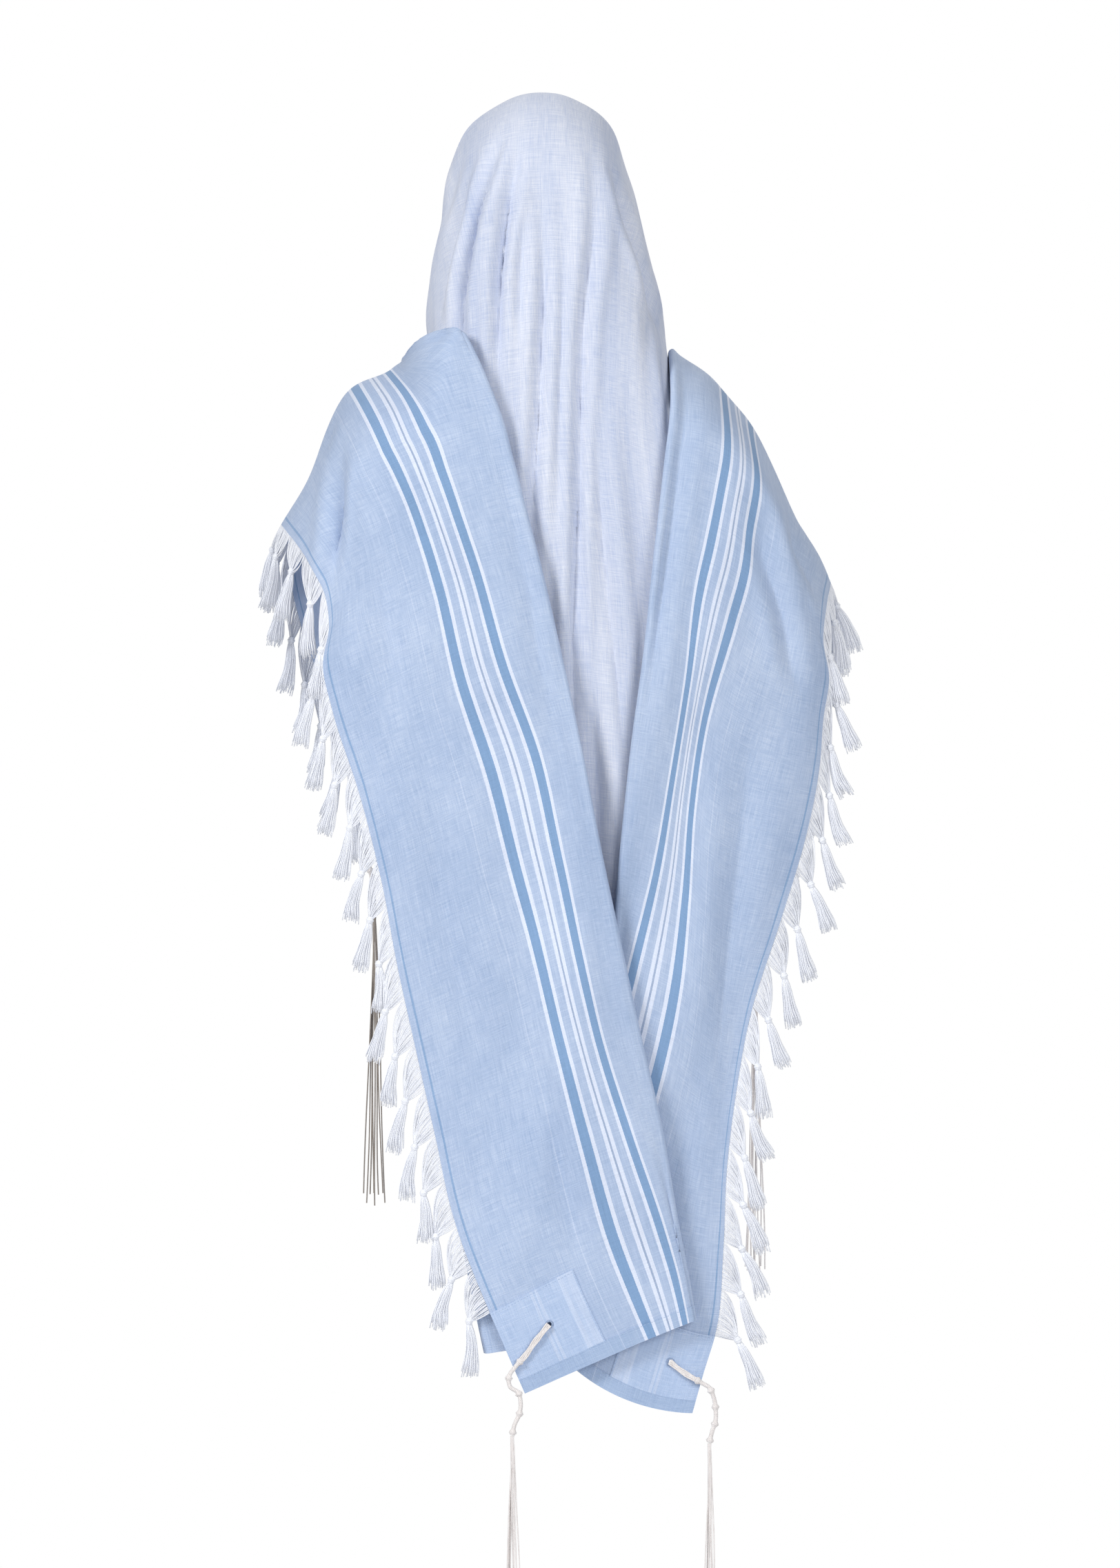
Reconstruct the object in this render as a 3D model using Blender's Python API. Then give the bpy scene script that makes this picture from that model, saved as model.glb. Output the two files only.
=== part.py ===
"""A tallit prayer shawl worn over the head, with both sides thrown back over the shoulders.

Metres, +Z up. The wearer faces +Y, so the back of the shawl faces -Y, and the wearer's
left is -X. The origin is the inside of the cloth at the crown, where a head carries it.

The cloth is one woven rectangle. Its lengthwise lines run from the front edge over the
head or a shoulder and down the back to the bottom hem. Each side is laid in a flat Z:
the throw from the fringe to an inner fold, a return under it to an outer fold, and then
the back itself. Every surface here is a family of such lines.
"""

import math

import bpy
import numpy as np

# Cloth and trimmings
WALL = 0.0016
GAP = 0.0003
LAYER = 0.009
HEM_HEIGHT = 0.016
HEM_WALL = 0.001
BAND_START = 0.142
BAND_END = 0.213
FOLD_AT = 0.285
PATCH_WIDTH = 0.100
PATCH_HEIGHT = 0.095
EYELET_IN_LEFT = 0.051
EYELET_IN_RIGHT = 0.040
EYELET_UP = 0.053
EYELET_SIZE = 0.005
FAN_REACH = 0.026
TASSEL_DROP = 0.055
FRINGE_WALL = 0.003
FRINGE_GAP = 0.0008
WOUND_DIAMETER = 0.0055
BUNDLE_DIAMETER = 0.0075

# How much of each line's quarter turn over the ridge counts as length
SHOULDER_REACH = 0.11
SECTION_POWER = 2.6
OVERLAP_RAMP = 0.08
OVERLAP_START = 0.10
# How late in its quarter turn a line gives up its neck offset
NECK_POWER = 10
# The roll beside the neck: how far it rises, how late in the turn, and how soon it is lost
ROLL_RISE = 0.064
ROLL_POWER = 4
ROLL_REACH = 0.03

# The general figure that carries the cloth, at the innermost layer
FIGURE_COLUMNS = ("level", "back", "front", "half_width")
FIGURE = (
    (-1.450, 0.150, 0.125, 0.310),
    (-1.100, 0.152, 0.130, 0.325),
    (-0.850, 0.152, 0.135, 0.340),
    (-0.600, 0.148, 0.132, 0.335),
    (-0.450, 0.141, 0.122, 0.305),
    (-0.350, 0.133, 0.108, 0.245),
    (-0.265, 0.125, 0.088, 0.150),
    (-0.170, 0.119, 0.094, 0.122),
    (-0.085, 0.116, 0.100, 0.106),
    (-0.035, 0.115, 0.102, 0.078),
    (0.002, 0.115, 0.102, 0.046),
)

# Where each lengthwise line of a throw lies across the back, by how far down it is
THROW_COLUMNS = ("down", "fringe", "band_start", "band_end", "fold", "outer")
LEFT_THROW = (
    (0.00, -0.282, -0.210, -0.165, -0.103, -0.193),
    (0.02, -0.262, -0.196, -0.143, -0.0765, -0.191),
    (0.05, -0.240, -0.177, -0.119, -0.054, -0.188),
    (0.10, -0.229, -0.152, -0.099, -0.036, -0.183),
    (0.15, -0.236, -0.134, -0.082, -0.0225, -0.178),
    (0.20, -0.226, -0.119, -0.065, -0.009, -0.174),
    (0.30, -0.196, -0.096, -0.036, 0.015, -0.165),
    (0.40, -0.173, -0.064, 0.000, 0.037, -0.153),
    (0.50, -0.156, -0.038, 0.022, 0.0565, -0.140),
    (0.60, -0.136, -0.010, 0.043, 0.078, -0.127),
    (0.70, -0.115, 0.014, 0.066, 0.100, -0.114),
    (0.80, -0.094, 0.039, 0.098, 0.1235, -0.100),
    (0.90, -0.058, 0.067, 0.132, 0.141, -0.083),
    (0.95, -0.039, 0.087, 0.146, 0.151, -0.073),
    (1.00, -0.019, 0.109, 0.156, 0.160, -0.062),
)
RIGHT_THROW = (
    (0.00, 0.310, 0.230, 0.190, 0.1415, 0.208),
    (0.05, 0.302, 0.236, 0.192, 0.142, 0.215),
    (0.10, 0.309, 0.229, 0.184, 0.136, 0.222),
    (0.15, 0.303, 0.223, 0.174, 0.130, 0.228),
    (0.20, 0.299, 0.209, 0.163, 0.124, 0.231),
    (0.30, 0.281, 0.180, 0.151, 0.113, 0.232),
    (0.40, 0.255, 0.165, 0.135, 0.099, 0.227),
    (0.50, 0.226, 0.159, 0.117, 0.088, 0.217),
    (0.60, 0.209, 0.149, 0.092, 0.078, 0.204),
    (0.70, 0.197, 0.128, 0.067, 0.060, 0.190),
    (0.80, 0.193, 0.098, 0.040, 0.035, 0.176),
    (0.90, 0.185, 0.064, 0.011, 0.005, 0.163),
    (0.95, 0.172, 0.048, -0.005, -0.012, 0.156),
    (1.00, 0.160, 0.031, -0.022, -0.030, 0.150),
)

# The same lines at the ridge of the shoulder, at the bottom hem and at the front edge;
# neck is how much further out a line lies at its ridge, to pass outside the hood. An
# outer fold takes its ridge and turn from the line of the throw above it, so those are 0
END_COLUMNS = ("ridge_z", "hem_z", "front_x", "front_z", "turn", "neck")
LEFT_ENDS = {
    "fringe": (-0.470, -1.403, -0.185, -0.850, 0.045, 0.0),
    "band_start": (-0.327, -1.347, -0.140, -0.705, 0.055, 0.0),
    "band_end": (-0.300, -1.328, -0.110, -0.640, 0.050, 0.0),
    "fold": (-0.286, -1.326, -0.080, -0.580, 0.011, 0.048),
    "outer": (0.0, -1.361, -0.130, -0.540, 0.0, 0.0),
}
RIGHT_ENDS = {
    "fringe": (-0.532, -1.426, 0.230, -0.930, 0.045, 0.0),
    "band_start": (-0.369, -1.375, 0.180, -0.785, 0.055, 0.0),
    "band_end": (-0.318, -1.348, 0.145, -0.720, 0.060, 0.0),
    "fold": (-0.278, -1.341, 0.105, -0.655, 0.070, 0.0),
    "outer": (0.0, -1.355, 0.150, -0.600, 0.0, 0.0),
}
LEFT_HEM_SAG = 0.0
RIGHT_HEM_SAG = 0.012

# The hood and back: lines from the face edge over the head and down to the hem
RIB_COLUMNS = ("across", "ridge_x", "ridge_z", "back_turn", "face_turn", "face_x", "face_z")
RIBS = (
    (-1.00, -0.193, -0.334, 0.055, 0.055, -0.130, -0.540),
    (-0.90, -0.158, -0.325, 0.072, 0.068, -0.128, -0.485),
    (-0.80, -0.130, -0.306, 0.110, 0.080, -0.124, -0.425),
    (-0.70, -0.125, -0.268, 0.170, 0.090, -0.120, -0.360),
    (-0.58, -0.1215, -0.212, 0.170, 0.100, -0.115, -0.295),
    (-0.46, -0.1125, -0.142, 0.130, 0.110, -0.108, -0.228),
    (-0.34, -0.101, -0.083, 0.120, 0.110, -0.097, -0.157),
    (-0.22, -0.080, -0.036, 0.120, 0.110, -0.079, -0.101),
    (-0.10, -0.038, -0.0065, 0.120, 0.110, -0.034, -0.064),
    (0.00, 0.000, 0.0008, 0.120, 0.110, 0.000, -0.055),
    (0.10, 0.031, -0.004, 0.120, 0.110, 0.033, -0.062),
    (0.22, 0.073, -0.037, 0.120, 0.110, 0.073, -0.100),
    (0.34, 0.095, -0.090, 0.120, 0.110, 0.091, -0.162),
    (0.46, 0.1125, -0.152, 0.120, 0.110, 0.106, -0.232),
    (0.58, 0.1245, -0.210, 0.110, 0.100, 0.116, -0.298),
    (0.70, 0.1325, -0.266, 0.100, 0.090, 0.127, -0.380),
    (0.80, 0.1400, -0.304, 0.085, 0.080, 0.136, -0.455),
    (0.90, 0.168, -0.341, 0.075, 0.070, 0.145, -0.530),
    (1.00, 0.208, -0.357, 0.0575, 0.0575, 0.150, -0.600),
)
BACK_HEM_CENTRE = -1.300
SPREAD_LEVEL = -0.560

# Soft lengthwise pleats of the back: where across it, how deep and how wide
PLEATS = (
    (-0.62, 0.010, 0.07),
    (-0.38, 0.012, 0.07),
    (-0.12, 0.010, 0.06),
    (0.10, 0.013, 0.07),
    (0.36, 0.010, 0.06),
    (0.64, 0.012, 0.07),
)
PLEAT_TOP = -0.20
PLEAT_FULL = -0.90

# Steps along and across the lines
THROW_LINES = (0.0, 0.025, 0.075, 0.100, 0.142, 0.166, 0.190, 0.213, 0.245, 0.285)
RETURN_STEPS = (0.0, 0.2, 0.4, 0.6, 0.8, 1.0)
TURN_ANGLES = (45, 90, 135)
LAST_TURN_ANGLES = (45, 90, 110)
BACK_STEPS = (0.0, 0.02, 0.04, 0.065, 0.09, 0.125, 0.18, 0.24, 0.31, 0.38, 0.45)
BACK_STEPS += (0.53, 0.61, 0.69, 0.77, 0.84)
FRONT_STEPS = (0.07, 0.15, 0.24, 0.34, 0.46, 0.60)
RIB_COUNT = 29
CORNER_ROWS = 4
BACK_ROWS = 17
FACE_ROWS = 9

# Cord routes, chosen by hand: from the eyelet over the fringe edge, then hanging
CORD_ROUTES = {
    "back_left": (
        (0.0067, -0.1921, -1.3290),
        (-0.0070, -0.1925, -1.3460),
        (-0.0200, -0.1925, -1.3640),
        (-0.0290, -0.1925, -1.3740),
        (-0.0360, -0.1925, -1.3850),
        (-0.0350, -0.1925, -1.3950),
        (-0.0260, -0.1925, -1.4020),
        (-0.0235, -0.1925, -1.4130),
        (-0.0250, -0.1925, -1.4250),
        (-0.0300, -0.1925, -1.4360),
        (-0.0325, -0.1925, -1.4470),
    ),
    "back_right": (
        (0.1361, -0.1670, -1.3704),
        (0.1480, -0.1668, -1.3800),
        (0.1600, -0.1666, -1.3875),
        (0.1700, -0.1664, -1.3930),
        (0.1780, -0.1662, -1.3980),
        (0.1825, -0.1660, -1.4070),
        (0.1850, -0.1660, -1.4200),
        (0.1850, -0.1660, -1.4340),
        (0.1815, -0.1660, -1.4450),
        (0.1785, -0.1660, -1.4570),
    ),
    "front_left": (
        (-0.1744, 0.1490, -0.7434),
        (-0.1800, 0.1490, -0.7650),
        (-0.1860, 0.1490, -0.7850),
        (-0.1925, 0.1485, -0.8050),
        (-0.1960, 0.1480, -0.8190),
        (-0.1945, 0.1480, -0.8340),
        (-0.1910, 0.1480, -0.8500),
        (-0.1885, 0.1480, -0.8660),
        (-0.1875, 0.1480, -0.8820),
        (-0.1870, 0.1480, -0.8980),
    ),
    "front_right": (
        (0.2208, 0.1397, -0.8324),
        (0.2260, 0.1395, -0.8520),
        (0.2320, 0.1390, -0.8720),
        (0.2370, 0.1380, -0.8860),
        (0.2400, 0.1375, -0.9000),
        (0.2390, 0.1370, -0.9150),
        (0.2365, 0.1370, -0.9310),
        (0.2350, 0.1370, -0.9470),
        (0.2340, 0.1370, -0.9630),
        (0.2340, 0.1370, -0.9790),
    ),
}
LOOSE_LENGTHS = {"back_left": 0.26, "back_right": 0.26, "front_left": 0.32, "front_right": 0.32}
LOOSE_STEP = 0.018


def smooth(keys, values, at):
    """Reads values between their keys along a smooth curve."""
    keys, values = np.asarray(keys, float), np.asarray(values, float)
    slopes = np.gradient(values, keys)
    at = np.clip(at, keys[0], keys[-1])
    i = np.clip(np.searchsorted(keys, at) - 1, 0, len(keys) - 2)
    step = keys[i + 1] - keys[i]
    t = (at - keys[i]) / step
    start = (1 + 2 * t) * (1 - t) ** 2 * values[i] + t * (1 - t) ** 2 * step * slopes[i]
    end = t**2 * (3 - 2 * t) * values[i + 1] + t**2 * (t - 1) * step * slopes[i + 1]
    return start + end


def column(table, names, name):
    return np.array([row[names.index(name)] for row in table])


def read(table, names, name, at):
    """Reads the named column of a table, whose first column is the key."""
    return smooth(column(table, names, names[0]), column(table, names, name), at)


def ease(t):
    t = np.clip(t, 0.0, 1.0)
    return t * t * (3 - 2 * t)


def half_line(ridge_z, end_z, turn, steps):
    """Heights and turning angles along a line from its ridge to one end.

    The line leaves the ridge level, turns down through a quarter of an ellipse that is
    `turn` high, and hangs straight from there. A line that ends early stops in its turn.
    """
    steps = np.asarray(steps, float)
    end_angle = math.acos(1 - min(1.0, (ridge_z - end_z) / turn))
    bend = end_angle * (turn + SHOULDER_REACH) / 2
    straight = max(0.0, ridge_z - turn - end_z)
    along = steps * (bend + straight)
    angle = np.minimum(along / bend, 1.0) * end_angle
    return ridge_z - turn * (1 - np.cos(angle)) - np.maximum(0.0, along - bend), angle


def section(x, z):
    """How deep the figure is at x, as a share of its depth on the middle line."""
    share = np.clip(np.abs(x) / read(FIGURE, FIGURE_COLUMNS, "half_width", z), 0, 0.98)
    return (1 - share**SECTION_POWER) ** (1 / SECTION_POWER)


def lay(x, z, angle, side, height):
    """Points on the figure's back (side -1) or front (side 1), raised by a height."""
    name = "back" if side < 0 else "front"
    depth = read(FIGURE, FIGURE_COLUMNS, name, z) * section(x, z) * np.sin(angle)
    y = side * (depth + height * np.sin(angle))
    return np.stack([x, y, z + height * np.cos(angle)], axis=-1)


class Throw:
    """The lines of one throw and its return, by their distance from the fringe."""

    def __init__(self, rows, ends, hem_sag, eyelet_in):
        self.rows = rows
        self.ends = ends
        self.hem_sag = hem_sag
        self.lines = sorted((*THROW_LINES, eyelet_in, eyelet_in + EYELET_SIZE))

    def across(self, values, line):
        """Reads four values, given at the fringe, the band and the fold, at a line."""
        return smooth((0.0, BAND_START, BAND_END, FOLD_AT), values, line)

    def end(self, name, line, outward):
        index = END_COLUMNS.index(name)
        kept = [self.ends[key][index] for key in THROW_COLUMNS[1:5]]
        if name in ("ridge_z", "turn"):
            return float(self.across(kept, self.line_above(line, outward)))
        value = float(self.across(kept, line))
        return value + (self.ends["outer"][index] - value) * outward

    def line_above(self, line, outward):
        """The line of the throw that lies at the same place on the ridge as the return."""
        if outward == 0:
            return line
        index = END_COLUMNS.index("neck")
        ridge_x = np.abs(self.rows[0][1:5]) + [self.ends[key][index] for key in THROW_COLUMNS[1:5]]
        lines = np.linspace(FOLD_AT, 0.0, 60)
        x = abs(self.rows[0][5]) * outward + ridge_x[3] * (1 - outward)
        return float(np.interp(x, self.across(ridge_x, lines), lines))

    def x_at(self, line, outward, down):
        """x across the back; outward is 0 on the throw, 1 at the outer fold."""
        kept = [read(self.rows, THROW_COLUMNS, key, down) for key in THROW_COLUMNS[1:5]]
        values = np.array([self.across(point, line) for point in np.transpose(kept)])
        outer = read(self.rows, THROW_COLUMNS, "outer", down)
        return values + (outer - values) * outward

    def fold_x(self, z):
        """x of the inner fold at a height."""
        top, bottom = self.ends["fold"][0], self.ends["fold"][1]
        return read(self.rows, THROW_COLUMNS, "fold", (top - z) / (top - bottom))

    def outer_x(self, z):
        """x of the outer fold at a height."""
        top, bottom = self.end("ridge_z", FOLD_AT, 1.0), self.ends["outer"][1]
        return read(self.rows, THROW_COLUMNS, "outer", (top - z) / (top - bottom))


LEFT = Throw(LEFT_THROW, LEFT_ENDS, LEFT_HEM_SAG, EYELET_IN_LEFT)
RIGHT = Throw(RIGHT_THROW, RIGHT_ENDS, RIGHT_HEM_SAG, EYELET_IN_RIGHT)


def pleat(across, z):
    """How far the pleats of the back stand in or out at a height."""
    wave = sum(
        depth * np.exp(-(((across - place) / width) ** 2)) for place, depth, width in PLEATS
    )
    return wave * ease((PLEAT_TOP - z) / (PLEAT_TOP - PLEAT_FULL))


def overlap(x, z):
    """1 where the left throw lies on the right throw, 0 where it doesn't."""
    return ease((x - RIGHT.fold_x(z) + OVERLAP_START) / OVERLAP_RAMP)


def roll(line):
    """Share of the roll beside the neck that a line has: most just before the fold."""
    share = max(0.0, (line - BAND_END) / (FOLD_AT - BAND_END))
    return share * (0.89 + 2.36 * share - 2.5 * share**2)


def throw_line(throw, line, outward, height, shift=0.0, back_steps=(), front_steps=()):
    """One line of a throw from its bottom hem over the shoulder to its front edge."""
    ridge_z = throw.end("ridge_z", line, outward) - 2 * LAYER
    hem_z = throw.end("hem_z", line, outward)
    share = min(line / BAND_START, 1.0)
    hem_z -= throw.hem_sag * 4 * share * (1 - share) * (1 - outward)
    turn = throw.end("turn", line, outward)
    inward = 1 if throw is LEFT else -1

    z, angle = half_line(ridge_z, hem_z, turn, back_steps)
    neck = inward * throw.end("neck", line, outward)
    x = throw.x_at(line, outward, (ridge_z - z) / (ridge_z - hem_z)) + inward * shift
    x = x - neck * (1 - np.sin(angle) ** NECK_POWER)
    lift = 2 * LAYER * overlap(x, z) * min(1.0, height / LAYER) if throw is LEFT else 0.0
    back = lay(x, z, angle, -1, height + lift)
    below_turn = np.maximum(0.0, ridge_z - turn - z)
    rise = ROLL_RISE * roll(throw.line_above(line, outward)) if throw is LEFT else 0.0
    back[:, 2] += rise * np.sin(angle) ** ROLL_POWER * np.exp(-below_turn / ROLL_REACH)

    front_x = throw.end("front_x", line, outward)
    front_z = throw.end("front_z", line, outward)
    z, angle = half_line(ridge_z, front_z, turn, front_steps)
    drift = ease((ridge_z - z) / (ridge_z - front_z))
    x = (float(throw.x_at(line, outward, np.zeros(1))[0]) - neck) * (1 - drift)
    x = x + front_x * drift + inward * shift
    front = lay(x, z, angle, 1, height)
    return np.concatenate([back[::-1], front])


def steps_from_ends():
    """Row steps, with rows at the hem, the eyelet and the patch of each corner."""
    upper = EYELET_UP + EYELET_SIZE
    back_length, front_length = 1.10, 0.48
    near_hem = (PATCH_HEIGHT, upper, EYELET_UP, HEM_HEIGHT, 0.0)
    back = BACK_STEPS + tuple(1 - part / back_length for part in near_hem)
    front = FRONT_STEPS + tuple(1 - part / front_length for part in near_hem)
    return back, front


def throw_grid(throw):
    """The throw, its turn at the inner fold, its return and the turn at the outer fold."""
    back_steps, front_steps = steps_from_ends()
    radius = LAYER / 2

    def line(distance, outward, height, shift=0.0):
        return throw_line(throw, distance, outward, height, shift, back_steps, front_steps)

    lines = [line(distance, 0.0, 2 * LAYER) for distance in throw.lines]
    for angle in map(math.radians, TURN_ANGLES):
        height = LAYER + radius + radius * math.cos(angle)
        lines.append(line(FOLD_AT, 0.0, height, radius * math.sin(angle)))
    last_angle = math.radians(LAST_TURN_ANGLES[-1])
    inset = radius * math.sin(last_angle) - GAP
    lines += [line(FOLD_AT, outward, LAYER, outward * inset) for outward in RETURN_STEPS]
    for angle in map(math.radians, LAST_TURN_ANGLES):
        height = radius + radius * math.cos(angle)
        lines.append(line(FOLD_AT, 1.0, height, inset - radius * math.sin(angle)))
    if throw is RIGHT:
        lines.reverse()
    return np.stack(lines, axis=1)


def back_line(across, back_steps, face_steps):
    """One line of the hood and back, from the bottom hem over the head to the face edge."""
    ridge_x, ridge_z, back_turn, face_turn, face_x, face_z = (
        float(read(RIBS, RIB_COLUMNS, name, across)) for name in RIB_COLUMNS[1:]
    )
    side = LEFT if across < 0 else RIGHT
    hem_z = BACK_HEM_CENTRE + (side.ends["outer"][1] - BACK_HEM_CENTRE) * abs(across) ** 1.5

    z, angle = half_line(ridge_z, hem_z, back_turn, back_steps)
    left, right = LEFT.outer_x(z), RIGHT.outer_x(z)
    spread = (left + right) / 2 + across * (right - left) / 2
    settled = ease((ridge_z - z) / (ridge_z - SPREAD_LEVEL))
    settled = settled + (1 - settled) * ease((abs(across) - 0.8) / 0.2)
    x = ridge_x + (spread - ridge_x) * settled
    back = lay(x, z, angle, -1, -pleat(across, z))

    z, angle = half_line(ridge_z, face_z, face_turn, face_steps)
    drift = ease((ridge_z - z) / (ridge_z - face_z))
    front = lay(ridge_x + (face_x - ridge_x) * drift, z, angle, 1, 0.0)
    return np.concatenate([back[::-1], front[1:]])


def back_grid():
    hem_step = HEM_HEIGHT / 1.3
    back_steps = (*np.linspace(0, 1 - 4 * hem_step, BACK_ROWS) ** 1.35, 1 - hem_step, 1.0)
    face_steps = np.append(np.linspace(0, 0.9, FACE_ROWS), 1.0)
    across = np.sin(np.linspace(-1, 1, RIB_COUNT) * 1.1) / math.sin(1.1)
    return np.stack([back_line(a, back_steps, face_steps) for a in across], axis=1)


def unit(vectors):
    return vectors / np.linalg.norm(vectors, axis=-1, keepdims=True)


def grid_normals(points):
    """Normals of a grid of points; the back of the shawl faces out."""
    down = np.gradient(points, axis=0)
    over = np.gradient(points, axis=1)
    return unit(np.cross(over, down))


def wall(points, normals, inner, outer, left_out=()):
    """Vertices and faces of a closed wall over a grid, less the cells left out."""
    rows, columns = points.shape[:2]
    count = rows * columns
    sheet = np.concatenate([points + normals * outer, points + normals * inner])
    faces = []
    border = set()
    for row in range(rows - 1):
        for col in range(columns - 1):
            if (row, col) in left_out:
                continue
            first = row * columns + col
            loop = [first, first + 1, first + columns + 1, first + columns]
            for corner in (loop[:3], [loop[0], *loop[2:]]):
                faces.append(corner)
                faces.append([i + count for i in reversed(corner)])
            for a, b in zip(loop, loop[1:] + loop[:1], strict=True):
                if (b, a) in border:
                    border.remove((b, a))
                else:
                    border.add((a, b))
    faces += [[b, a, a + count, b + count] for a, b in sorted(border)]
    return sheet.reshape(-1, 3), faces


def finish(name, colour, roughness):
    """A plain material in the colour of the piece."""
    material = bpy.data.materials.new(name)
    material.use_nodes = True
    shader = material.node_tree.nodes["Principled BSDF"]
    shader.inputs["Base Color"].default_value = (*colour, 1.0)
    shader.inputs["Roughness"].default_value = roughness
    shader.inputs["Metallic"].default_value = 0.0
    return material


def add_solid(name, vertices, faces, material):
    mesh = bpy.data.meshes.new(name)
    mesh.from_pydata([tuple(point) for point in vertices], [], faces)
    mesh.materials.append(material)
    mesh.validate()
    mesh.shade_smooth()
    item = bpy.data.objects.new(name, mesh)
    bpy.context.scene.collection.objects.link(item)
    return item


def moved_in(points, distance):
    """A strip of the grid whose first row is moved towards its second."""
    strip = points.copy()
    strip[0] += unit(strip[1] - strip[0]) * distance
    return strip


def hem(name, grid, kept, material):
    """A turned hem on the outside of an edge, on the rows and columns kept of a grid."""
    first = WALL / 2 + GAP
    vertices, faces = wall(grid[kept], grid_normals(grid)[kept], first, first + HEM_WALL)
    add_solid(name, vertices, faces, material)


def patch(name, grid, kept, material):
    """A corner patch above the hem, with its eyelet; the first row is nearest the hem."""
    first = WALL / 2 + GAP
    strip = moved_in(grid[kept], 2 * GAP)
    normals = grid_normals(grid)[kept]
    eyelet = eyelet_cell(grid[kept])
    vertices, faces = wall(strip, normals, first, first + HEM_WALL, left_out=(eyelet,))
    add_solid(name, vertices, faces, material)


def eyelet_cell(points):
    """The small cell of a patch's grid: the only one with two short sides."""
    tall = np.linalg.norm(points[1:, 0] - points[:-1, 0], axis=-1)
    wide = np.linalg.norm(points[0, 1:] - points[0, :-1], axis=-1)
    return int(tall.argmin()), int(wide.argmin())


def fringe(name, edge, inside, material):
    """The reach of the knotted fringe: out from the edge, then hanging."""
    outward = unit(edge - inside)
    thread = edge + outward * FRINGE_GAP
    knot = edge + outward * FAN_REACH
    tip = knot + np.array([0.0, 0.0, -TASSEL_DROP])
    grid = np.stack([thread, knot, tip], axis=1)
    vertices, faces = wall(grid, grid_normals(grid), -FRINGE_WALL / 2, FRINGE_WALL / 2)
    add_solid(name, vertices, faces, material)


def cord(name, points, diameter, material):
    """A plain tube along a smooth curve through the points of a route."""
    route = np.array(points)
    length = np.concatenate([[0], np.cumsum(np.linalg.norm(np.diff(route, axis=0), axis=1))])
    count = max(3, round(length[-1] / (2.2 * diameter)))
    at = np.linspace(0, length[-1], count)
    track = np.stack([smooth(length, route[:, i], at) for i in range(3)], axis=1)
    curve = bpy.data.curves.new(name, "CURVE")
    curve.dimensions = "3D"
    curve.bevel_depth = diameter / 2
    curve.bevel_resolution = 2
    curve.use_fill_caps = True
    spline = curve.splines.new("POLY")
    spline.points.add(count - 1)
    for place, point in zip(spline.points, track, strict=True):
        place.co = (*point, 1.0)
    curve.materials.append(material)
    bpy.context.scene.collection.objects.link(bpy.data.objects.new(name, curve))


def loose_route(end, length):
    """The loose strings hang straight down from the last knot."""
    first = 3 * GAP
    drops = np.linspace(first, first + length, round(length / LOOSE_STEP))
    return [(end[0], end[1], end[2] - drop) for drop in drops]


def build_throw(side, throw, cloth, hems, patches, knots):
    grid = throw_grid(throw)
    rows, columns = grid.shape[:2]
    near = throw.lines.index(PATCH_WIDTH) + 1
    shown = len(throw.lines)
    if throw is LEFT:
        corner, backwards, face = slice(0, near), slice(near - 1, None, -1), slice(0, shown)
        edge, inside = grid[::-1, 0], grid[::-1, 1]
    else:
        corner, backwards = slice(columns - near, columns), slice(-1, -near - 1, -1)
        face = slice(columns - shown, columns)
        edge, inside = grid[:, -1], grid[:, -2]
    row, col = eyelet_cell(grid[1:5, corner])
    front_row, front_col = eyelet_cell(grid[-2:-6:-1, corner])
    holes = (
        (row + 1, col + corner.start),
        (rows - 3 - front_row, front_col + corner.start),
    )
    vertices, faces = wall(grid, grid_normals(grid), -WALL / 2, WALL / 2, left_out=holes)
    add_solid(f"{side}_throw", vertices, faces, cloth)
    hem(f"hem_{side}_back", grid, (slice(0, 2), face), hems)
    hem(f"hem_{side}_front", grid, (slice(-2, None), face), hems)
    patch(f"patch_back_{side}", grid, (slice(1, 5), corner), patches)
    patch(f"patch_front_{side}", grid, (slice(-2, -6, -1), backwards), patches)
    bare = slice(CORNER_ROWS, -CORNER_ROWS)
    fringe(f"fringe_{side}", edge[bare], inside[bare], knots)


def build_back(cloth, hems):
    grid = back_grid()
    vertices, faces = wall(grid, grid_normals(grid), -WALL / 2, WALL / 2)
    add_solid("hood_back", vertices, faces, cloth)
    clear_of_folds = slice(1, -1)
    hem("hem_centre_back", grid, (slice(0, 2), clear_of_folds), hems)
    hem("hem_face", grid, (slice(-2, None), clear_of_folds), hems)


def build_cords(material):
    for corner, route in CORD_ROUTES.items():
        cord(f"tzitzit_{corner}_wound", route, WOUND_DIAMETER, material)
        strings = loose_route(route[-1], LOOSE_LENGTHS[corner])
        cord(f"tzitzit_{corner}_strings", strings, BUNDLE_DIAMETER, material)


def main():
    for item in list(bpy.data.objects):
        bpy.data.objects.remove(item)
    cloth = finish("woven_cloth", (0.52, 0.66, 0.85), 0.9)
    hems = finish("turned_hem", (0.42, 0.57, 0.80), 0.9)
    patches = finish("corner_patch", (0.58, 0.71, 0.88), 0.85)
    knots = finish("fringe_cotton", (0.90, 0.90, 0.92), 0.95)
    strings = finish("tzitzit_wool", (0.86, 0.83, 0.80), 0.95)
    build_back(cloth, hems)
    build_throw("left", LEFT, cloth, hems, patches, knots)
    build_throw("right", RIGHT, cloth, hems, patches, knots)
    build_cords(strings)


main()
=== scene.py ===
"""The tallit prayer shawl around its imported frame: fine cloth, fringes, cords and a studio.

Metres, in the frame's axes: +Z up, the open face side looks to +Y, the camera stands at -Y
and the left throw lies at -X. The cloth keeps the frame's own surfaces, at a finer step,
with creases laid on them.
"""

import math
import random

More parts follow.
